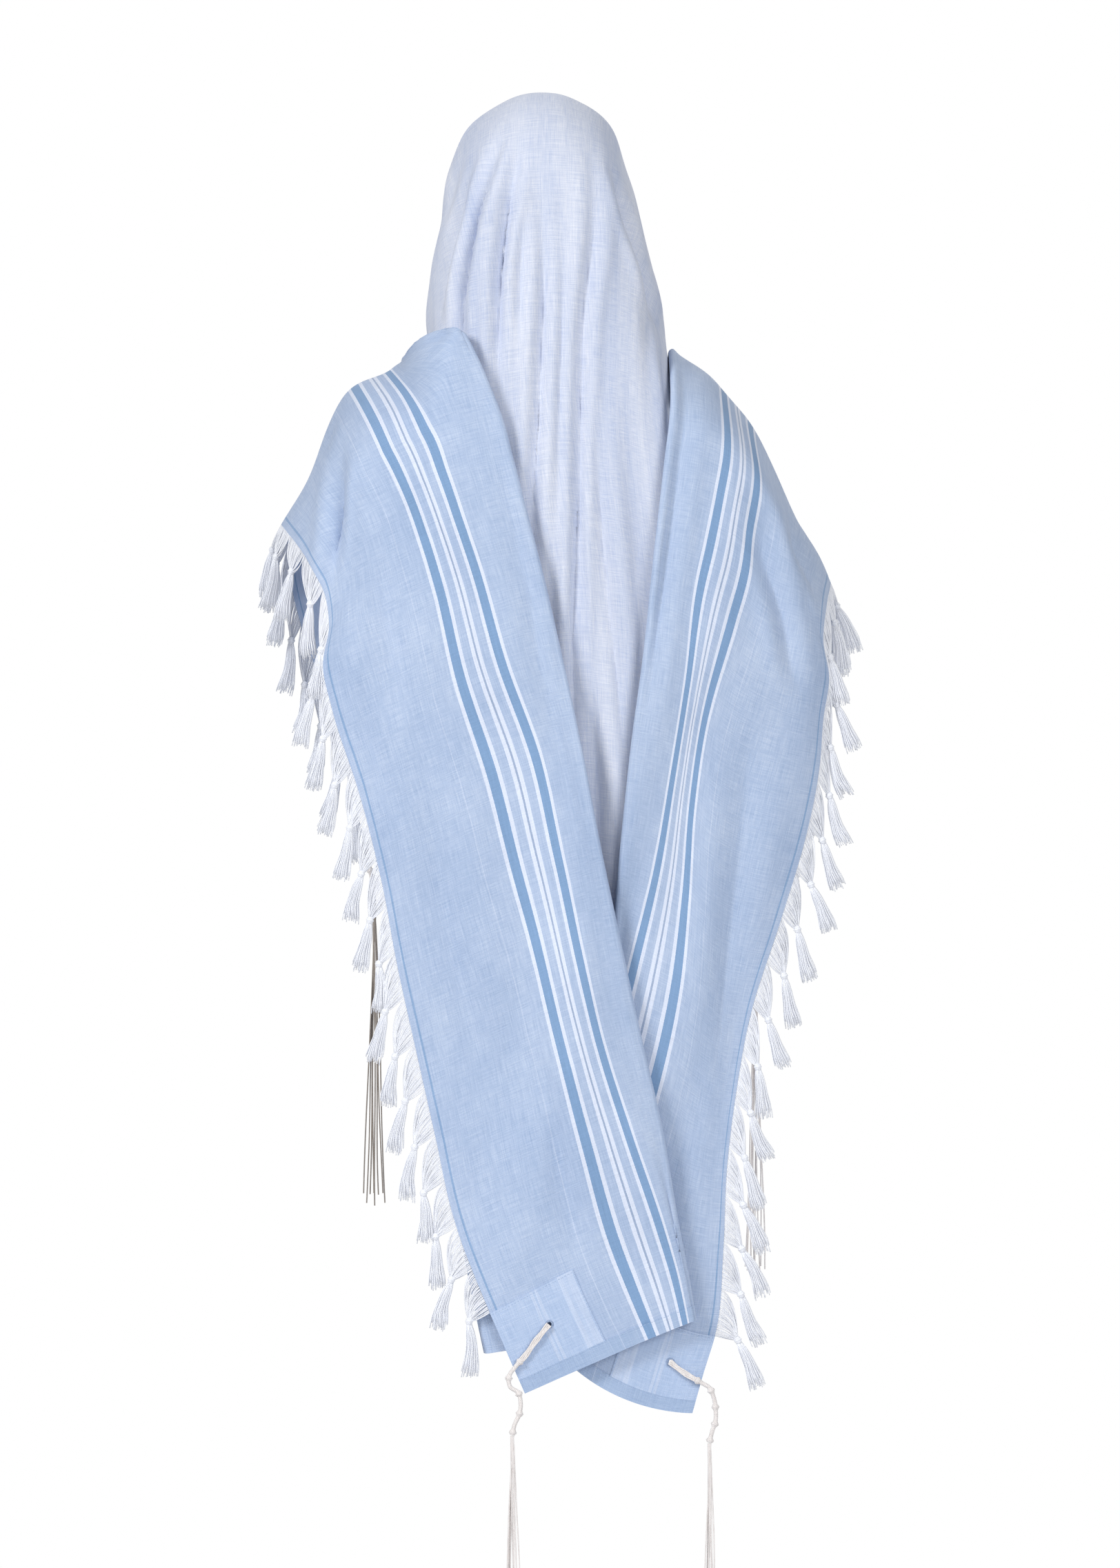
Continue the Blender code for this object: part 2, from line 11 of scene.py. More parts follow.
import bpy
import numpy as np
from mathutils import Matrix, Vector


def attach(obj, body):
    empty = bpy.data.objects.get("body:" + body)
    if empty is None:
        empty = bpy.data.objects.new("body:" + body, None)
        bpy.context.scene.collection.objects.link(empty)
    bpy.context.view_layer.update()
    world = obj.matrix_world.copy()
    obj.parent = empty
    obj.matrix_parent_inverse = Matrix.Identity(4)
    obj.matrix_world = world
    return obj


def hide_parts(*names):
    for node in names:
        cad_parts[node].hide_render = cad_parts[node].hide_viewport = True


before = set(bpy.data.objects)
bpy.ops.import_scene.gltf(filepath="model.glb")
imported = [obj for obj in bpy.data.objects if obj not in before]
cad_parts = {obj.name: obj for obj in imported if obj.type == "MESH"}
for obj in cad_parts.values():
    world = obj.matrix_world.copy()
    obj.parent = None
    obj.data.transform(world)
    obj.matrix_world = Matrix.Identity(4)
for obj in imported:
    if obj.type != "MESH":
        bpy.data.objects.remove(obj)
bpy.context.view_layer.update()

# Cloth and trimmings, as in the frame
LAYER = 0.009
GAP = 0.0003
CLOTH_WALL = 0.0014
TRIM_WALL = 0.0009
BAND_START = 0.142
BAND_END = 0.213
FOLD_AT = 0.285
PATCH_WIDTH = 0.100
EYELET_SIZE = 0.005
RIM_RAISED = 0.0021
# How far from the seam the stitches run, as a share of the row beside it
THROW_SEAM_IN = 0.2
PATCH_SEAM_IN = 0.4
HOOD_SEAM_IN = 0.25
HOOD_HEM_INSET = 5
STITCH_LIFT = np.array([-0.0001, 0.00015, 0.00015, -0.0001])
TINY = 1e-9
SHOULDER_REACH = 0.11
SECTION_POWER = 2.6
OVERLAP_RAMP = 0.08
OVERLAP_START = 0.10
# How late in its quarter turn a line gives up its neck offset
NECK_POWER = 10
# The roll beside the neck: how far it rises, how late in the turn, how soon it is lost, and
# how it grows from the band to the fold
ROLL_RISE = 0.064
ROLL_POWER = 4
ROLL_REACH = 0.03
ROLL_CURVE = (0.89, 2.36, -2.5)

# Distances of rows from each edge of a line: the hem to 16 mm, the patch to 95 mm
NEAR_EDGE = (0.0, 0.005, 0.0105, 0.016, 0.024, 0.032, 0.040, 0.047, 0.053, 0.058)
NEAR_EDGE += (0.066, 0.074, 0.082, 0.089, 0.095)
HEM_ROW = 3
EYELET_ROW = 8
PATCH_ROW = 14
BACK_LENGTH = 1.10
FRONT_LENGTH = 0.48

# How finely the sheets are laid
BACK_STEPS = 170
FRONT_STEPS = 64
THROW_LINES = 74
CLEAR_OF_HOLE = 0.0015
INNER_TURN_ANGLES = range(20, 180, 20)
RETURN_LINES = 9
OUTER_TURN = 110
OUTER_TURN_LINES = 7
HOOD_BACK_STEPS = 158
HOOD_FACE_STEPS = 38
HOOD_LINES = 231
HOOD_LINE_CROWDING = 1.1
HOOD_HEM_STEP = 0.016 / 1.3

FIGURE_COLUMNS = ("level", "back", "front", "half_width")
FIGURE = (
    (-1.45, 0.15, 0.125, 0.31),
    (-1.1, 0.152, 0.13, 0.325),
    (-0.85, 0.152, 0.135, 0.34),
    (-0.6, 0.148, 0.132, 0.335),
    (-0.45, 0.141, 0.122, 0.305),
    (-0.35, 0.133, 0.108, 0.245),
    (-0.265, 0.125, 0.088, 0.15),
    (-0.17, 0.119, 0.094, 0.122),
    (-0.085, 0.116, 0.1, 0.106),
    (-0.035, 0.115, 0.102, 0.078),
    (0.002, 0.115, 0.102, 0.046),
)
THROW_COLUMNS = ("down", "fringe", "band_start", "band_end", "fold", "outer")
LEFT_THROW = (
    (0.0, -0.282, -0.21, -0.165, -0.103, -0.193),
    (0.02, -0.262, -0.196, -0.143, -0.0765, -0.191),
    (0.05, -0.24, -0.177, -0.119, -0.054, -0.188),
    (0.1, -0.229, -0.152, -0.099, -0.036, -0.183),
    (0.15, -0.236, -0.134, -0.082, -0.0225, -0.178),
    (0.2, -0.226, -0.119, -0.065, -0.009, -0.174),
    (0.3, -0.196, -0.096, -0.036, 0.015, -0.165),
    (0.4, -0.173, -0.064, 0.0, 0.037, -0.153),
    (0.5, -0.156, -0.038, 0.022, 0.0565, -0.14),
    (0.6, -0.136, -0.01, 0.043, 0.078, -0.127),
    (0.7, -0.115, 0.014, 0.066, 0.1, -0.114),
    (0.8, -0.094, 0.039, 0.098, 0.1235, -0.1),
    (0.9, -0.058, 0.067, 0.132, 0.141, -0.083),
    (0.95, -0.039, 0.087, 0.146, 0.151, -0.073),
    (1.0, -0.019, 0.109, 0.156, 0.16, -0.062),
)
RIGHT_THROW = (
    (0.0, 0.31, 0.23, 0.19, 0.1415, 0.208),
    (0.05, 0.302, 0.236, 0.192, 0.142, 0.215),
    (0.1, 0.309, 0.229, 0.184, 0.136, 0.222),
    (0.15, 0.303, 0.223, 0.174, 0.13, 0.228),
    (0.2, 0.299, 0.209, 0.163, 0.124, 0.231),
    (0.3, 0.281, 0.18, 0.151, 0.113, 0.232),
    (0.4, 0.255, 0.165, 0.135, 0.099, 0.227),
    (0.5, 0.226, 0.159, 0.117, 0.088, 0.217),
    (0.6, 0.209, 0.149, 0.092, 0.078, 0.204),
    (0.7, 0.197, 0.128, 0.067, 0.06, 0.19),
    (0.8, 0.193, 0.098, 0.04, 0.035, 0.176),
    (0.9, 0.185, 0.064, 0.011, 0.005, 0.163),
    (0.95, 0.172, 0.048, -0.005, -0.012, 0.156),
    (1.0, 0.16, 0.031, -0.022, -0.03, 0.15),
)
END_COLUMNS = ("ridge_z", "hem_z", "front_x", "front_z", "turn", "neck")
LEFT_ENDS = {
    "fringe": (-0.47, -1.403, -0.185, -0.85, 0.045, 0.0),
    "band_start": (-0.327, -1.347, -0.14, -0.705, 0.055, 0.0),
    "band_end": (-0.3, -1.328, -0.11, -0.64, 0.05, 0.0),
    "fold": (-0.286, -1.326, -0.08, -0.58, 0.011, 0.048),
    "outer": (0.0, -1.361, -0.13, -0.54, 0.0, 0.0),
}
RIGHT_ENDS = {
    "fringe": (-0.532, -1.426, 0.23, -0.93, 0.045, 0.0),
    "band_start": (-0.369, -1.375, 0.18, -0.785, 0.055, 0.0),
    "band_end": (-0.318, -1.348, 0.145, -0.72, 0.06, 0.0),
    "fold": (-0.278, -1.341, 0.105, -0.655, 0.07, 0.0),
    "outer": (0.0, -1.355, 0.15, -0.6, 0.0, 0.0),
}
RIB_COLUMNS = ("across", "ridge_x", "ridge_z", "back_turn", "face_turn", "face_x", "face_z")
RIBS = (
    (-1.0, -0.193, -0.334, 0.055, 0.055, -0.13, -0.54),
    (-0.9, -0.158, -0.325, 0.072, 0.068, -0.128, -0.485),
    (-0.8, -0.13, -0.306, 0.11, 0.08, -0.124, -0.425),
    (-0.7, -0.125, -0.268, 0.17, 0.09, -0.12, -0.36),
    (-0.58, -0.1215, -0.212, 0.17, 0.1, -0.115, -0.295),
    (-0.46, -0.1125, -0.142, 0.13, 0.11, -0.108, -0.228),
    (-0.34, -0.101, -0.083, 0.12, 0.11, -0.097, -0.157),
    (-0.22, -0.08, -0.036, 0.12, 0.11, -0.079, -0.101),
    (-0.1, -0.038, -0.0065, 0.12, 0.11, -0.034, -0.064),
    (0.0, 0.0, 0.0008, 0.12, 0.11, 0.0, -0.055),
    (0.1, 0.031, -0.004, 0.12, 0.11, 0.033, -0.062),
    (0.22, 0.073, -0.037, 0.12, 0.11, 0.073, -0.1),
    (0.34, 0.095, -0.09, 0.12, 0.11, 0.091, -0.162),
    (0.46, 0.1125, -0.152, 0.12, 0.11, 0.106, -0.232),
    (0.58, 0.1245, -0.21, 0.11, 0.1, 0.116, -0.298),
    (0.7, 0.1325, -0.266, 0.1, 0.09, 0.127, -0.38),
    (0.8, 0.14, -0.304, 0.085, 0.08, 0.136, -0.455),
    (0.9, 0.168, -0.341, 0.075, 0.07, 0.145, -0.53),
    (1.0, 0.208, -0.357, 0.0575, 0.0575, 0.15, -0.6),
)
BACK_HEM_CENTRE = -1.300
BACK_HEM_POWER = 1.5
# The back's lines follow the throws' outer folds below this level, and its side lines,
# from this far across, at every level
SPREAD_LEVEL = -0.560
SIDE_START = 0.8
SIDE_RAMP = 0.2
# Pleats of the back: how far across, how deep and how wide
PLEATS = (
    (-0.62, 0.01, 0.07), (-0.38, 0.012, 0.07), (-0.12, 0.01, 0.06),
    (0.1, 0.013, 0.07), (0.36, 0.01, 0.06), (0.64, 0.012, 0.07),
)
PLEAT_TOP = -0.20
PLEAT_FULL = -0.90

# Creases laid on each side of each sheet, in tenths of a millimetre: how wide, how
# deep, then the x and z of each point along it
BACK_SIDE = -1
FRONT_SIDE = 1
CREASE_UNITS = 10000
CREASES = {
    ("hood", BACK_SIDE): (
        (65, 45, -703, -725, -805, -997, -895, -1359, -975, -1631, -1042, -1970, -1081, -2264,
         -1092, -2581),
        (62, 65, -400, -480, -477, -658, -590, -974, -692, -1269, -771, -1585, -839, -1947, -880,
         -2264, -885, -2581, -880, -3100),
        (68, 65, -240, -560, -273, -771, -330, -1042, -386, -1359, -432, -1721, -466, -2038, -477,
         -2377, -480, -2671, -490, -3300),
        (80, 60, -47, -974, -24, -1359, 3, -1925, 3, -2264, -24, -2943, -47, -3550, -85, -4170,
         -107, -4650, -120, -5600),
        (80, 25, -205, -1269, -239, -2038, -250, -2700),
        (110, 35, 157, -1020, 179, -1585, 213, -2038, 202, -2717, 179, -3550, 173, -4500, 180,
         -5500),
        (80, 60, 496, -544, 541, -1269, 541, -1585, 507, -1925, 462, -2264, 428, -2603, 406,
         -3169, 386, -3805, 379, -4540, 371, -5459, 349, -6011, 342, -6562, 350, -7600),
        (105, 45, 577, -3253, 570, -3988, 625, -4797, 680, -5459, 772, -6195, 827, -6746, 860,
         -7400),
        (48, 60, 688, -793, 790, -1110, 903, -1472, 1017, -1812, 1130, -2174, 1220, -2445, 1322,
         -2785),
        (60, 30, -850, -726, -952, -974, -1009, -1180, -1050, -1500),
    ),
    ("hood", FRONT_SIDE): (
        (100, 50, -700, -450, -850, -1100, -980, -1900, -1100, -3000),
        (80, 35, -450, -200, -520, -600, -560, -850),
        (100, 50, 640, -500, 820, -1200, 970, -2100, 1150, -3300),
        (80, 30, 350, -120, 420, -500, 450, -750),
    ),
    ("left", BACK_SIDE): (
        (140, 45, -442, -3775, -377, -4316, -269, -4858, -225, -5183, -184, -5312, -37, -6195,
         239, -7224, 349, -7850, 560, -8800),
        (85, 100, -2165, -3880, -2190, -4136, -2205, -4400, -2215, -4700, -2240, -5050, -2275,
         -5400),
        (200, 52, -1880, -4800, -1730, -5400, -1640, -6110, -1500, -6900),
        (170, 45, -1960, -6250, -1880, -6800, -1780, -7350, -1600, -8100),
        (60, 30, -2241, -3536, -2327, -3710, -2390, -3950),
        (60, 50, -1200, -2756, -1092, -2691, -1005, -2669),
        (130, 45, 30, -10400, 103, -11072, 192, -11633, 333, -12313, 399, -12653),
        (180, 45, -1250, -7700, -1080, -8700, -850, -9800, -600, -11000),
    ),
    ("left", FRONT_SIDE): (
        (120, 50, -2000, -3900, -1920, -5100, -1700, -6800),
        (110, 45, -1500, -3500, -1400, -4600, -1250, -6000),
        (100, 40, -2450, -5000, -2300, -6200, -2050, -7600),
    ),
    ("right", BACK_SIDE): (
        (80, 50, 2663, -4706, 2781, -4989, 2887, -5272, 2957, -5531),
        (95, 55, 2309, -4777, 2380, -5107, 2498, -5437, 2592, -5814, 2668, -6239, 2771, -6542),
        (100, 40, 2402, -3881, 2638, -4472, 2860, -5330),
        (100, 45, 1520, -3000, 1530, -3530, 1460, -4050, 1390, -4635, 1300, -5340, 1180, -6200,
         1050, -7200),
        (160, 40, 2230, -6900, 2120, -8200, 1960, -9600, 1830, -11000),
    ),
    ("right", FRONT_SIDE): (
        (120, 50, 2250, -4200, 2180, -6000, 2000, -8000),
        (110, 45, 1700, -3700, 1650, -5300, 1520, -6900),
        (100, 40, 2700, -5600, 2620, -7000, 2480, -8400),
    ),
}
TRACK_STEP = 0.004
CREASE_GAIN = {"hood": 2.3, "left": 1.5, "right": 1.5}
CREASE_SHARPNESS = 2.2
# The low bank along both sides of a crease: its height as a share of the depth, and its
# distance in widths
BANK_SHARE = 0.32
BANK_AT = 1.9
EDGE_FADE = 0.012
HOOD_SIDE_FADE = 0.06
SIDE_FADE = 0.03

# Slow undulation of the cloth: waves per metre along u and v, phase and height
RIPPLES = (
    (5.1, 1.3, 0.4, 0.0013), (8.7, -1.9, 2.1, 0.0009), (3.3, 2.6, 4.0, 0.0012),
    (13.0, 0.9, 1.2, 0.0005), (2.1, 5.2, 5.3, 0.0006),
)

# Cord routes as in the frame
CORD_ROUTES = {
    "back_left": (
        (0.0067, -0.1921, -1.329), (-0.007, -0.1925, -1.346), (-0.02, -0.1925, -1.364),
        (-0.029, -0.1925, -1.374), (-0.036, -0.1925, -1.385), (-0.035, -0.1925, -1.395),
        (-0.026, -0.1925, -1.402), (-0.0235, -0.1925, -1.413), (-0.025, -0.1925, -1.425),
        (-0.03, -0.1925, -1.436), (-0.0325, -0.1925, -1.447),
    ),
    "back_right": (
        (0.1361, -0.167, -1.3704), (0.148, -0.1668, -1.38), (0.16, -0.1666, -1.3875),
        (0.17, -0.1664, -1.393), (0.178, -0.1662, -1.398), (0.1825, -0.166, -1.407),
        (0.185, -0.166, -1.42), (0.185, -0.166, -1.434), (0.1815, -0.166, -1.445),
        (0.1785, -0.166, -1.457),
    ),
    "front_left": (
        (-0.1744, 0.149, -0.7434), (-0.18, 0.149, -0.765), (-0.186, 0.149, -0.785),
        (-0.1925, 0.1485, -0.805), (-0.196, 0.148, -0.819), (-0.1945, 0.148, -0.834),
        (-0.191, 0.148, -0.85), (-0.1885, 0.148, -0.866), (-0.1875, 0.148, -0.882),
        (-0.187, 0.148, -0.898),
    ),
    "front_right": (
        (0.2208, 0.1397, -0.8324), (0.226, 0.1395, -0.852), (0.232, 0.139, -0.872),
        (0.237, 0.138, -0.886), (0.24, 0.1375, -0.9), (0.239, 0.137, -0.915),
        (0.2365, 0.137, -0.931), (0.235, 0.137, -0.947), (0.234, 0.137, -0.963),
        (0.234, 0.137, -0.979),
    ),
}
# How long the loose strings are, how much of the wound part is plain doubled strands before
# the first knot, and how far the strings spread at their ends
CORD_FACTS = {
    "back_left": (0.26, 0.34, 0.012),
    "back_right": (0.26, 0.30, 0.009),
    "front_left": (0.32, 0.36, 0.013),
    "front_right": (0.32, 0.36, 0.012),
}
STRING_DIAMETER = 0.0015
STRINGS_PER_CORD = 8
# The strings start in a small ring under the last knot, then sway and spread
STRING_RING = 0.0014
STRING_START = 0.0009
STRING_SWAY = 0.0016
STRING_DEPTH = 0.004
KNOTS_PER_CORD = 5
CORD_STEP = 0.0004
# The plain strands: where they lie side by side, and how far they run into the winding
STRAND_OFFSETS = (-0.00215, -0.0007, 0.0007, 0.00215)
STRAND_RADIUS = 0.0009
STRAND_WAVE = 0.0003
PLAIN_OVERLAP = 0.03
# The winding, its turns and its knots
WOUND_RADIUS = 0.0023
WINDING_PITCH = 0.0016
WINDING_RIDGE = 0.00028
KNOT_RISE = 0.0019
KNOT_REACH = 0.0032

# Fringe
FAN_WIDTH = 0.050
FAN_REACH = 0.026
FAN_THREADS = 34
THREAD_RADIUS = 0.0006
TASSEL_THREADS = 44
TASSEL_LENGTH = 0.052
TASSEL_SPREAD = 0.0080
TASSEL_ROOT = 0.0024
KNOT_RADIUS = 0.0042
KNOT_LENGTH = 0.0085
DOWN = np.array([0.0, 0.0, -1.0])
# How far the fans, their knots and their threads hang below straight out
FAN_DROOP = 0.30
KNOT_DROP = 0.004
THREAD_SAG = 0.003
THREAD_INSET = 0.0012
# How far the tassels lean out: more on the back of the right throw
RIGHT_LEAN = 0.26
LEAN = 0.10

# The camera, at the photograph's viewing angle
CAMERA_X = 0.0185
CAMERA_Z = -0.7517
CAMERA_AWAY = 9.496

# Studio: floor, light from all round, and lamps by place, size and watts
FLOOR_Z = -1.78
FLOOR_RADIUS = 1.9
WHITE = (1.0, 1.0, 1.0, 1.0)
FILL_COLOUR = (0.95, 0.97, 1.0, 1.0)
FILL_STRENGTH = 0.42
AIM = (0.0185, 0.0, -0.75)
LIGHTS = (
    ("key_light", (-3.4, -3.6, 1.7), 1.6, 165),
    ("fill_light", (3.0, -5.0, 0.6), 2.6, 125),
    ("back_light", (0.6, 4.5, 1.8), 2.6, 70),
)


def smooth(keys, values, at):
    """Reads values between their keys along a smooth curve."""
    keys, values = np.asarray(keys, float), np.asarray(values, float)
    slopes = np.gradient(values, keys)
    at = np.clip(at, keys[0], keys[-1])
    i = np.clip(np.searchsorted(keys, at) - 1, 0, len(keys) - 2)
    step = keys[i + 1] - keys[i]
    t = (at - keys[i]) / step
    start = (1 + 2 * t) * (1 - t) ** 2 * values[i] + t * (1 - t) ** 2 * step * slopes[i]
    end = t**2 * (3 - 2 * t) * values[i + 1] + t**2 * (t - 1) * step * slopes[i + 1]
    return start + end


def read(table, names, name, at):
    """Reads the named column of a table, whose first column is the key."""
    columns = np.transpose(table)
    return smooth(columns[0], columns[names.index(name)], at)


def ease(t):
    """A smooth step from 0 to 1."""
    t = np.clip(t, 0.0, 1.0)
    return t * t * (3 - 2 * t)


def half_line(ridge_z, end_z, turn, steps):
    """Heights and turning angles along a line from its ridge to one end."""
    steps = np.asarray(steps, float)
    end_angle = math.acos(1 - min(1.0, (ridge_z - end_z) / turn))
    bend = end_angle * (turn + SHOULDER_REACH) / 2
    straight = max(0.0, ridge_z - turn - end_z)
    along = steps * (bend + straight)
    angle = np.minimum(along / bend, 1.0) * end_angle
    return ridge_z - turn * (1 - np.cos(angle)) - np.maximum(0.0, along - bend), angle


def section(x, z):
    """How deep the figure is at x, as a share of its depth on the middle line."""
    share = np.clip(np.abs(x) / read(FIGURE, FIGURE_COLUMNS, "half_width", z), 0, 0.98)
    return (1 - share**SECTION_POWER) ** (1 / SECTION_POWER)


def lay(x, z, angle, side, height):
    """Points on the figure's back (side -1) or front (side 1), raised by a height."""
    name = "back" if side < 0 else "front"
    depth = read(FIGURE, FIGURE_COLUMNS, name, z) * section(x, z) * np.sin(angle)
    y = side * (depth + height * np.sin(angle))
    return np.stack([x, y, z + height * np.cos(angle)], axis=-1)


class Throw:
    """The lines of one throw and its return, by their distance from the fringe."""

    def __init__(self, rows, ends, hem_sag, eyelet_in):
        self.rows = rows
        self.ends = ends
        self.hem_sag = hem_sag
        self.eyelet_in = eyelet_in

    def ends_of(self, index):
        return [self.ends[key][index] for key in THROW_COLUMNS[1:5]]

    def across(self, values, line):
        return smooth((0.0, BAND_START, BAND_END, FOLD_AT), values, line)

    def end(self, name, line, outward):
        index = END_COLUMNS.index(name)
        kept = self.ends_of(index)
        if name in ("ridge_z", "turn"):
            return float(self.across(kept, self.line_above(line, outward)))
        value = float(self.across(kept, line))
        return value + (self.ends["outer"][index] - value) * outward

    def line_above(self, line, outward):
        """The line of the throw that lies at the same place on the ridge as the return."""
        if outward == 0:
            return line
        ridge_x = np.abs(self.rows[0][1:5]) + self.ends_of(END_COLUMNS.index("neck"))
        lines = np.linspace(FOLD_AT, 0.0, 60)
        x = abs(self.rows[0][5]) * outward + ridge_x[3] * (1 - outward)
        return float(np.interp(x, self.across(ridge_x, lines), lines))

    def x_at(self, line, outward, down):
        """x across the back; outward is 0 on the throw, 1 at the outer fold."""
        kept = [read(self.rows, THROW_COLUMNS, key, down) for key in THROW_COLUMNS[1:5]]
        values = np.array([self.across(point, line) for point in np.transpose(kept)])
        outer = read(self.rows, THROW_COLUMNS, "outer", down)
        return values + (outer - values) * outward

    def fold_x(self, z):
        top, bottom = self.ends["fold"][:2]
        return read(self.rows, THROW_COLUMNS, "fold", (top - z) / (top - bottom))

    def outer_x(self, z):
        top, bottom = self.end("ridge_z", FOLD_AT, 1.0), self.ends["outer"][1]
        return read(self.rows, THROW_COLUMNS, "outer", (top - z) / (top - bottom))


LEFT = Throw(LEFT_THROW, LEFT_ENDS, hem_sag=0.0, eyelet_in=0.051)
RIGHT = Throw(RIGHT_THROW, RIGHT_ENDS, hem_sag=0.012, eyelet_in=0.040)


def pleat(across, z):
    """How far the pleats of the back stand in or out at a height."""
    wave = sum(
        depth * np.exp(-(((across - place) / width) ** 2)) for place, depth, width in PLEATS
    )
    return wave * ease((PLEAT_TOP - z) / (PLEAT_TOP - PLEAT_FULL))


def overlap(x, z):
    """1 where the left throw lies on the right throw, 0 where it doesn't."""
    return ease((x - RIGHT.fold_x(z) + OVERLAP_START) / OVERLAP_RAMP)


def roll(line):
    """Share of the roll beside the neck that a line has: most just before the fold."""
    share = max(0.0, (line - BAND_END) / (FOLD_AT - BAND_END))
    return share * (ROLL_CURVE[0] + ROLL_CURVE[1] * share + ROLL_CURVE[2] * share**2)


def throw_line(throw, line, outward, height, shift, back_steps, front_steps):
    """One line of a throw from its bottom hem over the shoulder to its front edge."""
    ridge_z = throw.end("ridge_z", line, outward) - 2 * LAYER
    hem_z = throw.end("hem_z", line, outward)
    share = min(line / BAND_START, 1.0)
    hem_z -= throw.hem_sag * 4 * share * (1 - share) * (1 - outward)
    turn = throw.end("turn", line, outward)
    inward = 1 if throw is LEFT else -1

    z, angle = half_line(ridge_z, hem_z, turn, back_steps)
    neck = inward * throw.end("neck", line, outward)
    x = throw.x_at(line, outward, (ridge_z - z) / (ridge_z - hem_z)) + inward * shift
    x = x - neck * (1 - np.sin(angle) ** NECK_POWER)
    lift = 2 * LAYER * overlap(x, z) * min(1.0, height / LAYER) if throw is LEFT else 0.0
    back = lay(x, z, angle, -1, height + lift)
    below_turn = np.maximum(0.0, ridge_z - turn - z)
    rise = ROLL_RISE * roll(throw.line_above(line, outward)) if throw is LEFT else 0.0
    back[:, 2] += rise * np.sin(angle) ** ROLL_POWER * np.exp(-below_turn / ROLL_REACH)

    front_x = throw.end("front_x", line, outward)
    front_z = throw.end("front_z", line, outward)
    z, angle = half_line(ridge_z, front_z, turn, front_steps)
    drift = ease((ridge_z - z) / (ridge_z - front_z))
    x = (float(throw.x_at(line, outward, np.zeros(1))[0]) - neck) * (1 - drift)
    x = x + front_x * drift + inward * shift
    front = lay(x, z, angle, 1, height)
    return np.concatenate([back[::-1], front])


def line_steps():
    """Fine steps along a line, with the rows of the hem and the patch at both ends."""
    back_edge = [1 - part / BACK_LENGTH for part in NEAR_EDGE[::-1]]
    front_edge = [1 - part / FRONT_LENGTH for part in NEAR_EDGE[::-1]]
    back = [*np.linspace(0, back_edge[0], BACK_STEPS)[:-1], *back_edge]
    front = [*np.linspace(0, front_edge[0], FRONT_STEPS)[1:-1], *front_edge]
    return back, front


def throw_lines(throw):
    """Distances of the throw's lines from the fringe, with two at the eyelet."""
    hole = (throw.eyelet_in, throw.eyelet_in + EYELET_SIZE)
    even = np.linspace(0, FOLD_AT, THROW_LINES)
    clear = [at for at in even if min(abs(at - h) for h in hole) > CLEAR_OF_HOLE]
    return sorted({*clear, *hole, PATCH_WIDTH})


def throw_grid(throw):
    """The throw, its turn at the inner fold, its return and the turn at the outer fold.

    Also gives each column's distance from the fringe, along the cloth.
    """
    back_steps, front_steps = line_steps()
    radius = LAYER / 2
    last_angle = math.radians(OUTER_TURN)
    inset = radius * math.sin(last_angle) - GAP

    def line(distance, outward, height, shift=0.0):
        return throw_line(throw, distance, outward, height, shift, back_steps, front_steps)

    distances = throw_lines(throw)
    lines = [line(distance, 0.0, 2 * LAYER) for distance in distances]
    for angle in np.radians(INNER_TURN_ANGLES):
        height = LAYER + radius + radius * math.cos(angle)
        lines.append(line(FOLD_AT, 0.0, height, radius * math.sin(angle)))
    for part in np.linspace(0, 1, RETURN_LINES):
        lines.append(line(FOLD_AT, part, LAYER, part * inset))
    for angle in np.linspace(0, last_angle, OUTER_TURN_LINES)[1:]:
        height = radius + radius * math.cos(angle)
        lines.append(line(FOLD_AT, 1.0, height, inset - radius * math.sin(angle)))
    grid = np.stack(lines, axis=1)
    spacing = np.linalg.norm(np.diff(grid, axis=1), axis=-1).mean(axis=0)
    beyond = FOLD_AT + np.cumsum(spacing[len(distances) - 1 :])
    along = np.concatenate([distances, beyond])
    if throw is RIGHT:
        return grid[:, ::-1], along[::-1]
    return grid, along


def back_line(across, back_steps, face_steps):
    """One line of the hood and back, from the bottom hem over the crown to the face edge."""
    ridge_x, ridge_z, back_turn, face_turn, face_x, face_z = (
        float(read(RIBS, RIB_COLUMNS, name, across)) for name in RIB_COLUMNS[1:]
    )
    side = LEFT if across < 0 else RIGHT
    drop = side.ends["outer"][1] - BACK_HEM_CENTRE
    hem_z = BACK_HEM_CENTRE + drop * abs(across) ** BACK_HEM_POWER

    z, angle = half_line(ridge_z, hem_z, back_turn, back_steps)
    left, right = LEFT.outer_x(z), RIGHT.outer_x(z)
    spread = (left + right) / 2 + across * (right - left) / 2
    settled = ease((ridge_z - z) / (ridge_z - SPREAD_LEVEL))
    settled = settled + (1 - settled) * ease((abs(across) - SIDE_START) / SIDE_RAMP)
    x = ridge_x + (spread - ridge_x) * settled
    back = lay(x, z, angle, -1, -pleat(across, z))

    z, angle = half_line(ridge_z, face_z, face_turn, face_steps)
    drift = ease((ridge_z - z) / (ridge_z - face_z))
    front = lay(ridge_x + (face_x - ridge_x) * drift, z, angle, 1, 0.0)
    return np.concatenate([back[::-1], front[1:]])


def back_grid():
    """The lines of the hood and back, closest together at the sides."""
    edge = [1 - HOOD_HEM_STEP * part for part in (1.0, 0.66, 0.33, 0.0)]
    back_steps = [*np.linspace(0, edge[0], HOOD_BACK_STEPS)[:-1] ** 1.2, *edge]
    face_steps = [*np.linspace(0, 0.9, HOOD_FACE_STEPS), 0.935, 0.97, 1.0]
    across = np.sin(np.linspace(-1, 1, HOOD_LINES) * HOOD_LINE_CROWDING)
    across = across / math.sin(HOOD_LINE_CROWDING)
    return np.stack([back_line(a, back_steps, face_steps) for a in across], axis=1)


def between(first, second, share):
    return first * (1 - share) + second * share


